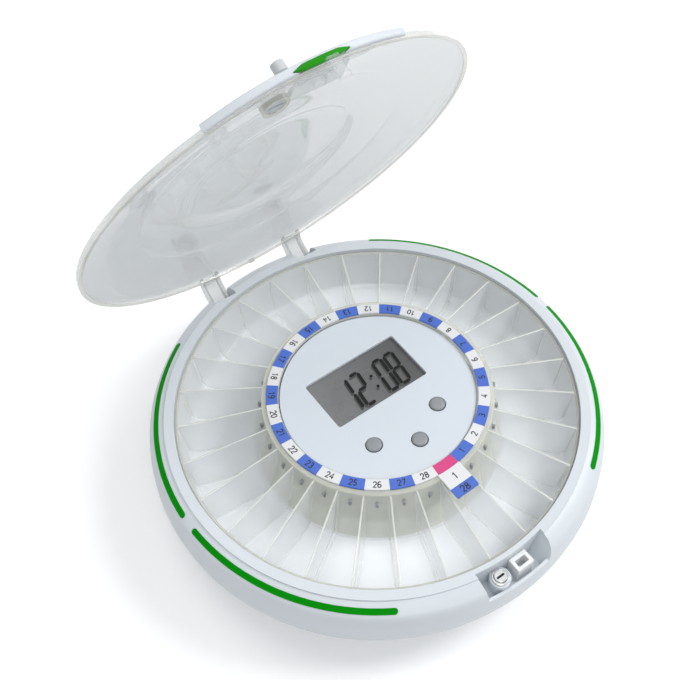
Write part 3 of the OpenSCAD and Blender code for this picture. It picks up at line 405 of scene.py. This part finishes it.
def softCorners(path, times=3, cut=0.25):
    for _ in range(times):
        new = [path[0]]
        for a, b in zip(path, path[1:]):
            new.append(tuple(a[i] * (1 - cut) + b[i] * cut for i in range(len(a))))
            new.append(tuple(a[i] * cut + b[i] * (1 - cut) for i in range(len(a))))
        new.append(path[-1])
        path = new
    return path


def smoothByAngle(obj, angle=32):
    mesh = obj.data
    bm = bmesh.new()
    bm.from_mesh(mesh)
    for f in bm.faces:
        f.smooth = True
    for e in bm.edges:
        e.smooth = len(e.link_faces) == 2 and e.calc_face_angle(0) < math.radians(angle)
    bm.to_mesh(mesh)
    bm.free()


def softEdge(obj, width, segments, angle, miter="MITER_SHARP"):
    mod = obj.modifiers.new("softEdge", "BEVEL")
    mod.width = width * mm
    mod.segments = segments
    mod.limit_method = "ANGLE"
    mod.angle_limit = math.radians(angle)
    mod.miter_outer = miter


def faceOut(obj, weld=0.0):
    # weld is in metres
    bm = bmesh.new()
    bm.from_mesh(obj.data)
    if weld:
        bmesh.ops.remove_doubles(bm, verts=bm.verts, dist=weld)
    bmesh.ops.recalc_face_normals(bm, faces=bm.faces)
    bm.to_mesh(obj.data)
    bm.free()


def addPrism(verts, faces, near, far):
    # one closed block between two outlines with the same number of points
    start, n = len(verts), len(near)
    verts += near + far
    faces.append(tuple(start + k for k in range(n)))
    faces.append(tuple(start + n + k for k in reversed(range(n))))
    for k in range(n):
        m = (k + 1) % n
        faces.append((start + m, start + k, start + n + k, start + n + m))


def revolved(name, profile, mats, steps, pick, place=tuple):
    count = len(profile)
    verts, faces, index = [], [], []
    for i in range(steps):
        a = 2 * math.pi * i / steps
        verts += [place((r * math.cos(a), r * math.sin(a), z)) for r, z in profile]
    for i in range(steps):
        j = (i + 1) % steps
        for k in range(count):
            n = (k + 1) % count
            faces.append((i * count + k, j * count + k, j * count + n, i * count + n))
            index.append(pick(k, i))
    obj = meshObject(name, verts, faces, mats, index)
    faceOut(obj, 1e-7)
    smoothByAngle(obj)
    return obj


# how a copy of a solid is dressed: weld in metres, angles in degrees
dress = {"weld": 2e-6, "flat": 0.6, "sharp": 32, "segments": 2}


def dressed(node, body, mat, bevel, merge):
    obj = link(bpy.data.objects.new(node + "Body", nodes[node].data.copy()))
    mesh = obj.data
    bm = bmesh.new()
    bm.from_mesh(mesh)
    bmesh.ops.remove_doubles(bm, verts=bm.verts, dist=dress["weld"])
    if merge:
        bmesh.ops.dissolve_limit(bm, angle_limit=math.radians(dress["flat"]), verts=bm.verts, edges=bm.edges)
    bm.to_mesh(mesh)
    bm.free()
    mesh.materials.clear()
    mesh.materials.append(mat)
    # normals that came with the solid would override the new smoothing
    if "custom_normal" in mesh.attributes:
        mesh.attributes.remove(mesh.attributes["custom_normal"])
    smoothByAngle(obj, dress["sharp"])
    softEdge(obj, bevel, dress["segments"], dress["sharp"], "MITER_ARC")
    obj.modifiers.new("flatFaces", "WEIGHTED_NORMAL").keep_sharp = True
    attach(obj, body)
    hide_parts(node)


# what every solid that keeps its shape is made of: body, finish, edge rounding
plain = {
    "bottom_shell": ("base", "shellWhite", 0.4), "upper_shell": ("base", "shellWhite", 0.3),
    "light_strips": ("base", "stripGreen", 0.12), "hub_housing": ("base", "partWhite", 0.2),
    "control_panel": ("base", "panelWhite", 0.25), "lcd_glass": ("base", "lcdGrey", 0.1),
    "hinge_pins": ("base", "steel", 0.15),
    "lid_trim": ("lid", "shellWhite", 0.35), "lift_stud": ("lid", "studGrey", 0.4),
    "lid_boss": ("lid", "lidRim", 0.2), "boss_screw": ("lid", "studGrey", 0.15),
    "latch_guide": ("lid", "guideClear", 0.2), "release_button": ("release", "buttonGreen", 0.3),
    "latch_hook": ("release", "hookClear", 0.15), "latch_catch": ("base", "partWhite", 0.25),
    "lock_barrel": ("base", "lockChrome", 0.3), "lock_plug": ("lock", "lockChrome", 0.2),
    "button_left": ("left_key", "buttonGrey", 0.3), "button_middle": ("middle_key", "buttonGrey", 0.3),
    "button_right": ("right_key", "buttonGrey", 0.3), "rubber_foot": ("base", "rubberDark", 0.3),
    "battery_door": ("base", "shellWhite", 0.2), "door_screw": ("base", "steel", 0.1),
    "shell_screws": ("base", "steel", 0.1), "turntable": ("tray", "partWhite", 0.2),
    "tray_nibs": ("tray", "nibGrey", 0.15), "glide_ring": ("base", "partWhite", 0.1),
}
# merged into one face, a flat side with cut-outs folds over when its edges are rounded
keepsTriangles = ("bottom_shell", "battery_door")
for node, (body, mat, bevel) in plain.items():
    dressed(node, body, finish[mat], bevel, merge=node not in keepsTriangles)
print("solids dressed:", len(plain))

# solids that stay inside the base keep their own mesh and take a finish
hidden = {
    "strip_boards": "boardGreen", "lcd_connectors": "linkPink", "circuit_board": "boardGreen",
    "controller_chip": "partBlack", "button_switches": "springSteel", "buzzer": "partBlack", "motor": "steel",
    "motor_bracket": "partWhite", "gear_pin": "steel", "drive_gear": "partWhite", "motor_pinion": "gearBrass",
    "ring_gear": "partWhite", "index_sensor": "partBlack", "battery_box": "partWhite",
    "batteries": "cellSleeve", "battery_contacts": "springSteel", "battery_springs": "springSteel",
    "lock_cam": "steel", "turntable_spigot": "partWhite",
}
for node, mat in hidden.items():
    data = nodes[node].data
    data.materials.clear()
    data.materials.append(finish[mat])

# the tray in section: floor and outer wall, then the cone up to the collar and its shelf
tray = {
    "bays": 29, "stepsPerBay": 8, "wall": 1.2, "bottom": 19.7, "floor": 20.9,
    "footR": 93.6, "rimR": 96.2, "rim": 43.85, "fillet": 4.0,
    "coneR": 61.7, "collarR": 54.5, "collarLow": 50.2, "collarZ": 51.2, "shelfIn": 47.1, "shelfOut": 55.2,
}
# roundings of that section: heel is the outer wall's lower edge, toe the cone's
trayEdge = {"rim": 0.25, "rimDrop": 0.3, "heelOut": 0.1, "heelUp": 1.2, "heelIn": 0.9, "toe": 0.6,
            "collarDrop": 0.2, "coneOut": 1.2, "coneIn": 0.3, "coneUp": 1.4, "rimBand": 0.9}


def wallFoot():
    # the bay side of the outer wall: its fillet and a short straight stretch
    t = tray
    foot, top = t["footR"] - t["wall"], t["rimR"] - t["wall"]
    slope = (top - foot) / (t["rim"] - t["floor"])
    return bend((foot - t["fillet"], t["floor"]), (foot, t["floor"]),
                (foot + slope * t["fillet"], t["floor"] + t["fillet"]), 8)


def makeTrayBody():
    t, e = tray, trayEdge
    topR = t["rimR"] - t["wall"]
    underR = t["coneR"] - t["wall"]
    coneFoot = bend((t["coneR"] + e["coneOut"], t["floor"]), (t["coneR"], t["floor"]),
                    (t["coneR"] - e["coneIn"], t["floor"] + e["coneUp"]), 4)
    rim = [(topR, t["rim"] - e["rim"]), (topR + e["rim"], t["rim"]), (t["rimR"] - e["rim"], t["rim"]),
           (t["rimR"], t["rim"] - e["rimDrop"])]
    under = [(t["footR"] + e["heelOut"], t["bottom"] + e["heelUp"]), (t["footR"] - e["heelIn"], t["bottom"]),
             (underR + e["toe"], t["bottom"]), (underR, t["bottom"] + e["toe"]),
             (t["collarR"] - t["wall"], t["collarLow"] - e["collarDrop"])]
    shelf = [(t["shelfIn"], t["collarLow"]), (t["shelfIn"], t["collarZ"]),
             (t["shelfOut"] - e["rim"], t["collarZ"]), (t["shelfOut"], t["collarZ"] - e["rim"]),
             (t["shelfOut"], t["collarLow"]), (t["collarR"], t["collarLow"])]
    profile = coneFoot[::-1] + wallFoot() + rim + under + shelf
    rimLow, shelfLow = t["rim"] - e["rimBand"], t["collarLow"] - 0.1
    coneOut, coneLow = t["coneR"] + 0.5, t["bottom"] + 0.5

    def partOf(k, i):
        r, z = profile[k]
        if (z > rimLow and r > t["footR"]) or (z > shelfLow and r < t["coneR"]):
            return 1
        return 2 if r < coneOut and z > coneLow else 0

    body = revolved("trayBody", profile, [finish["trayClear"], finish["trayRim"], finish["coneClear"]],
                    t["bays"] * t["stepsPerBay"], partOf)
    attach(body, "tray")
    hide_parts("tray_floor", "tray_outer_wall", "tray_inner_wall")


# a wall between two bays, thicker at its foot; the in- values say how far it reaches into what it meets
divider = {"foot": 1.3, "top": 0.9, "inFloor": 0.1, "inCone": 0.4, "inWall": 0.25, "inRim": 0.3,
           "rimRound": 0.6, "collarOut": 0.8, "inCollar": 0.3, "topDrop": 0.1, "edge": 0.28, "edgeAngle": 50}
dividerAngles = [math.radians(-90 + (b + 0.5) * 360 / tray["bays"]) for b in range(tray["bays"])]


def dividerHalf(z):
    low = tray["floor"] - divider["inFloor"]
    lift = (z - low) / (tray["collarLow"] - low)
    return (divider["foot"] + (divider["top"] - divider["foot"]) * lift) / 2


def makeDividers():
    t, d = tray, divider
    topR, high = t["rimR"] - t["wall"], t["collarLow"]
    # side view, from the inner foot round to the collar
    side = ([(t["coneR"] - d["inCone"], t["floor"] - d["inFloor"])]
            + [(r + d["inWall"], z) for r, z in wallFoot()]
            + [(topR + d["inRim"], t["rim"] - d["inRim"]), (topR - d["rimRound"], t["rim"]),
               (t["collarR"] + d["collarOut"], high - d["topDrop"]),
               (t["collarR"] - d["inCollar"], high - d["inCollar"])])
    verts, faces = [], []
    for a in dividerAngles:
        near, far = ([turned(r, s * dividerHalf(z), z, a) for r, z in side] for s in (-1, 1))
        addPrism(verts, faces, near, far)
    walls = meshObject("trayWalls", verts, faces, [finish["dividerClear"]])
    faceOut(walls)
    softEdge(walls, d["edge"], 3, d["edgeAngle"])
    smoothByAngle(walls, 30)
    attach(walls, "tray")
    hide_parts("tray_dividers")


# small fillets where a divider meets the wall, the floor and the cone
seam = {"size": 0.6, "sink": 0.05, "underFoot": 0.15, "underTop": 0.1, "rimDrop": 0.8, "coneOut": 1.0,
        "coneIn": 0.4, "coneUp": 1.4, "collarOut": 0.6, "collarDrop": 2.0}


def makeSeams():
    t, s = tray, seam
    path = ([(t["rimR"] - t["wall"], t["rim"] - s["rimDrop"])] + wallFoot()[::-1]
            + [(t["coneR"] + s["coneOut"], t["floor"]), (t["coneR"] - s["coneIn"], t["floor"] + s["coneUp"]),
               (t["collarR"] + s["collarOut"], t["collarLow"] - s["collarDrop"])])
    verts, faces = [], []
    for a in dividerAngles:
        for side in (-1, 1):
            start = len(verts)
            for i, (r, z) in enumerate(path):
                before, after = path[max(i - 1, 0)], path[min(i + 1, len(path) - 1)]
                dr, dz = after[0] - before[0], after[1] - before[1]
                length = math.hypot(dr, dz)
                nr, nz = dz / length, -dr / length
                half = dividerHalf(z)
                sunk = (r - nr * s["sink"], z - nz * s["sink"])
                proud = (r + nr * s["size"], z + nz * s["size"])
                for (x, up), y in ((sunk, half - s["underFoot"]), (sunk, half + s["size"]),
                                   (proud, half - s["underTop"])):
                    verts.append(turned(x, y * side, up, a))
            for i in range(len(path) - 1):
                k = start + i * 3
                for m, n in ((0, 1), (1, 2), (2, 0)):
                    faces.append((k + m, k + n, k + 3 + n, k + 3 + m))
            end = len(verts)
            faces.append((start, start + 1, start + 2))
            faces.append((end - 1, end - 2, end - 3))
    corners = meshObject("trayCorners", verts, faces, [finish["cornerClear"]])
    faceOut(corners)
    smoothByAngle(corners, 40)
    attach(corners, "tray")


makeTrayBody()
makeDividers()
makeSeams()
print("tray built")


def arc(cx, cy, rx, ry, start, end, n=12):
    out = []
    for i in range(n + 1):
        a = math.radians(start + (end - start) * i / n)
        out.append((cx + rx * math.cos(a), cy + ry * math.sin(a)))
    return out


# numerals as single strokes in a box one unit high
six = arc(0.29, 0.5, 0.24, 0.45, 55, 180) + arc(0.28, 0.29, 0.23, 0.24, 180, 530, 20)
strokes = {
    "0": [arc(0.28, 0.5, 0.23, 0.45, 90, 430, 22)],
    "1": [[(0.12, 0.74), (0.33, 0.95), (0.33, 0.05)]],
    "2": [arc(0.28, 0.70, 0.22, 0.25, 175, -35) + [(0.06, 0.05), (0.52, 0.05)]],
    "3": [arc(0.26, 0.72, 0.20, 0.23, 150, -90), arc(0.26, 0.27, 0.23, 0.23, 90, -150)],
    "4": [[(0.40, 0.05), (0.40, 0.95), (0.04, 0.32), (0.54, 0.32)]],
    "5": [[(0.48, 0.95), (0.14, 0.95), (0.10, 0.52)] + arc(0.27, 0.32, 0.23, 0.27, 130, -150)],
    "6": [six],
    "7": [[(0.06, 0.95), (0.52, 0.95), (0.22, 0.05)]],
    "8": [arc(0.28, 0.73, 0.18, 0.22, 90, 440, 18), arc(0.28, 0.28, 0.23, 0.23, 90, 440, 18)],
    "9": [[(0.56 - x, 1 - y) for x, y in six]],
}
# shares of a numeral's height, but thick is the ink's real thickness
glyph = {"width": 0.56, "gap": 0.1, "weight": 0.17, "longestMitre": 0.6, "thick": 0.03}


def ribbon(path, half):
    left, right = [], []
    for i, (x, y) in enumerate(path):
        a, b = path[max(i - 1, 0)], path[min(i + 1, len(path) - 1)]
        d1 = Vector((x - a[0], y - a[1])) if i else Vector((b[0] - x, b[1] - y))
        d2 = Vector((b[0] - x, b[1] - y)) if i < len(path) - 1 else d1
        d1.normalize()
        d2.normalize()
        across = Vector((-d1.y, d1.x))
        mid = Vector((-(d1.y + d2.y), d1.x + d2.x))
        if mid.length < 1e-6:
            mid = across.copy()
        mid.normalize()
        reach = half / max(mid.dot(across), glyph["longestMitre"])
        left.append((x + mid.x * reach, y + mid.y * reach))
        right.append((x - mid.x * reach, y - mid.y * reach))
    return left, right


def addStroke(verts, faces, left, right, place):
    # a flat ribbon of ink with its two faces, two long sides and two ends
    start, n = len(verts), len(left)
    total = 2 * n
    for lift in (0, glyph["thick"]):
        verts += [place(x, y, lift) for x, y in left + right]
    for i in range(n - 1):
        for base, flip in ((start, True), (start + total, False)):
            quad = (base + i, base + n + i, base + n + i + 1, base + i + 1)
            faces.append(quad[::-1] if flip else quad)
        for row in (0, n):
            k = start + row + i
            quad = (k, k + 1, k + total + 1, k + total)
            faces.append(quad if row else quad[::-1])
    for i in (0, n - 1):
        k = start + i
        quad = (k, k + n, k + total + n, k + total)
        faces.append(quad[::-1] if i else quad)


def printNumbers(name, marks, size):
    # each mark is its word, the place of its middle and its turn
    g = glyph
    verts, faces = [], []
    for word, x0, y0, turn in marks:
        c, s = math.cos(turn), math.sin(turn)
        width = g["width"] * len(word) + g["gap"] * (len(word) - 1)
        for k, char in enumerate(word):
            def place(x, y, lift):
                x = (x + k * (g["width"] + g["gap"]) - width / 2) * size
                y = (y - 0.5) * size
                return (x0 + x * c - y * s, y0 + x * s + y * c, dial["top"] + lift)

            for path in strokes[char]:
                addStroke(verts, faces, *ribbon(path, g["weight"] / 2), place)
    ink = meshObject(name, verts, faces, [finish["printInk"]])
    faceOut(ink)
    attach(ink, "tray")


dial = {"inR": 47.5, "outR": 52.9, "top": 52.0, "thick": 0.8, "edge": 0.15, "textSize": 3.1}


def makeRing():
    d = dial
    bays, perCell = tray["bays"], tray["stepsPerBay"]
    steps = bays * perCell
    low, e = d["top"] - d["thick"], d["edge"]
    profile = [(d["inR"], low), (d["outR"], low), (d["outR"], d["top"] - e), (d["outR"] - e, d["top"]),
               (d["inR"] + e, d["top"]), (d["inR"], d["top"] - e)]
    # cells are centred on their bays; cell 0 is the empty start cell at the front
    shift = steps * (-90 / 360) - perCell / 2

    def colourOf(k, i):
        cell = int(((i - shift) % steps) // perCell)
        return 2 if cell == 0 else (1 if cell % 2 == 0 else 0)

    mats = [finish["cellBlue"], finish["cellWhite"], finish["cellPink"]]
    ring = revolved("ringCells", profile, mats, steps, colourOf)
    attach(ring, "tray")
    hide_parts("number_ring")
    midR = (d["inR"] + d["outR"]) / 2
    marks = []
    for n in range(1, bays):
        a = math.radians(-90 + n * 360 / bays)
        marks.append((str(n), midR * math.cos(a), midR * math.sin(a), a + math.pi / 2))
    printNumbers("ringNumbers", marks, d["textSize"])


# the tab over the front bay: white plate with a blue, round-cornered end
tab = {"half": 6.1, "gap": 0.05, "blueR": 61.7, "endR": 67.0, "endIn": 0.05, "cornerR": 1.2, "cornerLift": 0.6,
       "textSize": 3.6, "marks": (("1", -57.2), ("28", -64.4))}


def makeTab():
    t = tab
    half, cornerR = t["half"], t["cornerR"]

    def onCircle(x, r):
        return (x, -math.sqrt(r ** 2 - x ** 2))

    ringSide = [onCircle(-half + 2 * half * i / 12, dial["outR"] + t["gap"]) for i in range(13)]
    seamRight, seamLeft = (half, -t["blueR"]), (-half, -t["blueR"])
    cornerY = onCircle(half, t["endR"])[1] + cornerR * t["cornerLift"]
    corner = [(half - cornerR + cornerR * math.cos(a), cornerY - cornerR * math.sin(a))
              for a in (math.radians(15 * k) for k in range(6))]
    reach = half - cornerR
    farSide = [onCircle(reach - 2 * reach * i / 10, t["endR"] - t["endIn"]) for i in range(11)]
    leftCorner = [(-x, y) for x, y in reversed(corner)]
    plates = {
        "tabWhite": ("cellWhite", ringSide + [seamRight, seamLeft]),
        "tabBlue": ("cellBlue", [seamRight] + corner + farSide + leftCorner + [seamLeft]),
    }
    heights = (dial["top"] - dial["thick"], dial["top"])
    for name, (mat, shape) in plates.items():
        verts, faces = [], []
        addPrism(verts, faces, *([(x, y, z) for x, y in shape] for z in heights))
        plate = meshObject(name, verts, faces, [finish[mat]])
        faceOut(plate, 1e-6)
        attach(plate, "tray")
        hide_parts("ring_tab")
    printNumbers("tabNumbers", [(word, 0, y, 0) for word, y in t["marks"]], t["textSize"])


makeRing()
makeTab()
print("ring numbered")

# the time on the display; x of each digit's left side, colonAt as shares of a digit's height
clock = {"top": 48.2, "base": -1.7, "digitW": 4.8, "digitH": 18.6, "stroke": 1.75, "gap": 0.12, "slant": 0.11,
         "digits": (("1", -14.3), ("2", -7.0), ("0", 6.7), ("8", 13.6)), "colonX": 2.6, "colonAt": (0.32, 0.68),
         "dot": 0.75, "ink": 0.04, "windowLow": -3.2}
# the digits, and the faint shadow that they throw on the sheet behind the glass
clockLayers = {"clockDigits": ("lcdInk", 0.02, (0, 0)), "clockShade": ("lcdShade", 0.0, (-1.0, -1.2))}
segments = {"0": "abcdef", "1": "bc", "2": "abged", "8": "abcdefg"}


def segmentShapes(w, h, s, g):
    t = s / 2

    def flat(y):
        return [(g, y), (t + g, y + t), (w - t - g, y + t), (w - g, y), (w - t - g, y - t), (t + g, y - t)]

    def tall(x, y0, y1):
        return [(x, y0 + g), (x + t, y0 + t + g), (x + t, y1 - t - g), (x, y1 - g), (x - t, y1 - t - g),
                (x - t, y0 + t + g)]

    return {"a": flat(h), "g": flat(h / 2), "d": flat(0),
            "f": tall(0, h / 2, h), "b": tall(w, h / 2, h), "e": tall(0, 0, h / 2), "c": tall(w, 0, h / 2)}


def makeDisplay():
    c = clock
    shapes = segmentShapes(c["digitW"], c["digitH"], c["stroke"], c["gap"])
    outlines = [[(x + px, py + c["base"]) for px, py in shapes[key]]
                for char, x in c["digits"] for key in segments[char]]
    for part in c["colonAt"]:
        y = c["base"] + c["digitH"] * part
        outlines.append([(c["colonX"] + px * c["dot"], y + py * c["dot"])
                         for px, py in ((-1, -1), (1, -1), (1, 1), (-1, 1))])
    for name, (mat, low, (dx, dy)) in clockLayers.items():
        verts, faces = [], []
        for outline in outlines:
            near, far = ([(x + y * c["slant"] + dx, max(y + dy, c["windowLow"]), z) for x, y in outline]
                         for z in (c["top"] + low, c["top"] + (low + c["ink"])))
            addPrism(verts, faces, near, far)
        ink = meshObject(name, verts, faces, [finish[mat]])
        faceOut(ink)
        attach(ink, "base")


makeDisplay()
print("display drawn")

# outline from the rim to the middle: how far in from the rim, how high over it, and how far the inner
# face lies in and down from the outer one, as shares of the wall
lid = {"r": 98.4, "z": 45.9, "wall": 1.8, "edge": 1.7, "pole": 0.001, "rimSteps": 10, "outline": (
    (0.0, 0.0, 1.0, 0.0), (0.0, 1.7, 1.0, 0.4), (0.4, 2.7, 1.0, 0.7), (1.4, 3.5, 0.8, 1.0),
    (16.4, 6.7, 0.3, 1.0), (30.4, 8.6, 0.2, 1.0), (32.4, 9.4, 0.2, 1.0), (54.9, 10.5, 0.2, 1.0),
    (56.9, 12.3, 0.6, 1.0), (77.65, 12.85, 0.0, 1.0), (98.4, 13.1, 0.0, 1.0))}


def lidCurve(wall):
    d = lid
    return softCorners([(d["r"] - across - wall * shareIn, d["z"] + up - wall * shareDown)
                        for across, up, shareIn, shareDown in d["outline"]])


def makeLid():
    d = lid
    outer, inner = lidCurve(0), lidCurve(d["wall"])
    poles = [(d["pole"], outer[-1][1]), (d["pole"], inner[-1][1])]
    profile = outer[:-1] + poles + inner[-2::-1]
    rimEnd = len(profile) - d["rimSteps"] - 2

    def partOf(k, i):
        return 1 if k < d["rimSteps"] or k > rimEnd else 0

    dome = revolved("lidDome", profile, [finish["lidClear"], finish["lidRim"]], 256, partOf, openLid)
    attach(dome, "lid")
    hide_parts("lid_shell")


# an arm in side view: two curves from the lid's rim to the knuckle, with a thinner web between two ribs
arms = {"inner": 20.0, "width": 10.6, "rib": 1.7, "web": 0.35, "knuckle": 3.0, "steps": 10,
        "topIn": 3.6, "topUp": 1.5, "topPull": (1.5, 2.2),
        "backIn": 2.4, "backUp": 0.3, "backPull": (0.6, -0.4),
        "edge": 0.25, "edgeAngle": 40}
# a small nub on the rear rim: outline from the rim's lower edge, outward and up
nub = {"half": 1.6, "outline": ((-0.4, -0.3), (1.2, -0.3), (1.6, 0.1), (1.4, 1.5), (-0.4, 1.6))}


def makeArms():
    g, d = arms, lid
    hy, hz = hinge["y"], hinge["z"]
    front, rear = hy - g["knuckle"], hy + g["knuckle"]
    edgeZ = d["z"] + d["edge"]
    top = bend((d["r"] - g["topIn"], edgeZ + g["topUp"]), (hy + g["topPull"][0], edgeZ + g["topPull"][1]),
               (rear, hz), g["steps"])
    back = bend((front, hz), (front + g["backPull"][0], d["z"] + g["backPull"][1]),
                (d["r"] - g["backIn"], d["z"] + g["backUp"]), g["steps"])
    low = [(hy + g["knuckle"] * math.cos(a), hz + g["knuckle"] * math.sin(a))
           for a in (math.radians(-15 * k) for k in range(1, 12))]
    thin = [tuple(a[k] * (1 - g["web"]) + b[k] * g["web"] for k in (0, 1)) for a, b in zip(top, back[::-1])]
    verts, faces = [], []

    def slab(x0, x1, shape):
        addPrism(verts, faces, *([openLid((x, y, z)) for y, z in shape] for x in (x0, x1)))

    for s in (-1, 1):
        x0 = s * (g["inner"] + g["width"] / 2) - g["width"] / 2
        x1 = x0 + g["width"]
        slab(x0, x0 + g["rib"], top + low + back)
        slab(x1 - g["rib"], x1, top + low + back)
        slab(x0 + g["rib"], x1 - g["rib"], thin + low + back)
    slab(-nub["half"], nub["half"], [(d["r"] + out, d["z"] + up) for out, up in nub["outline"]])
    obj = meshObject("hingeArms", verts, faces, [finish["armClear"]])
    faceOut(obj)
    softEdge(obj, g["edge"], 2, g["edgeAngle"])
    smoothByAngle(obj, 30)
    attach(obj, "lid")
    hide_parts("hinge_arms")


makeLid()
makeArms()
print("lid built")
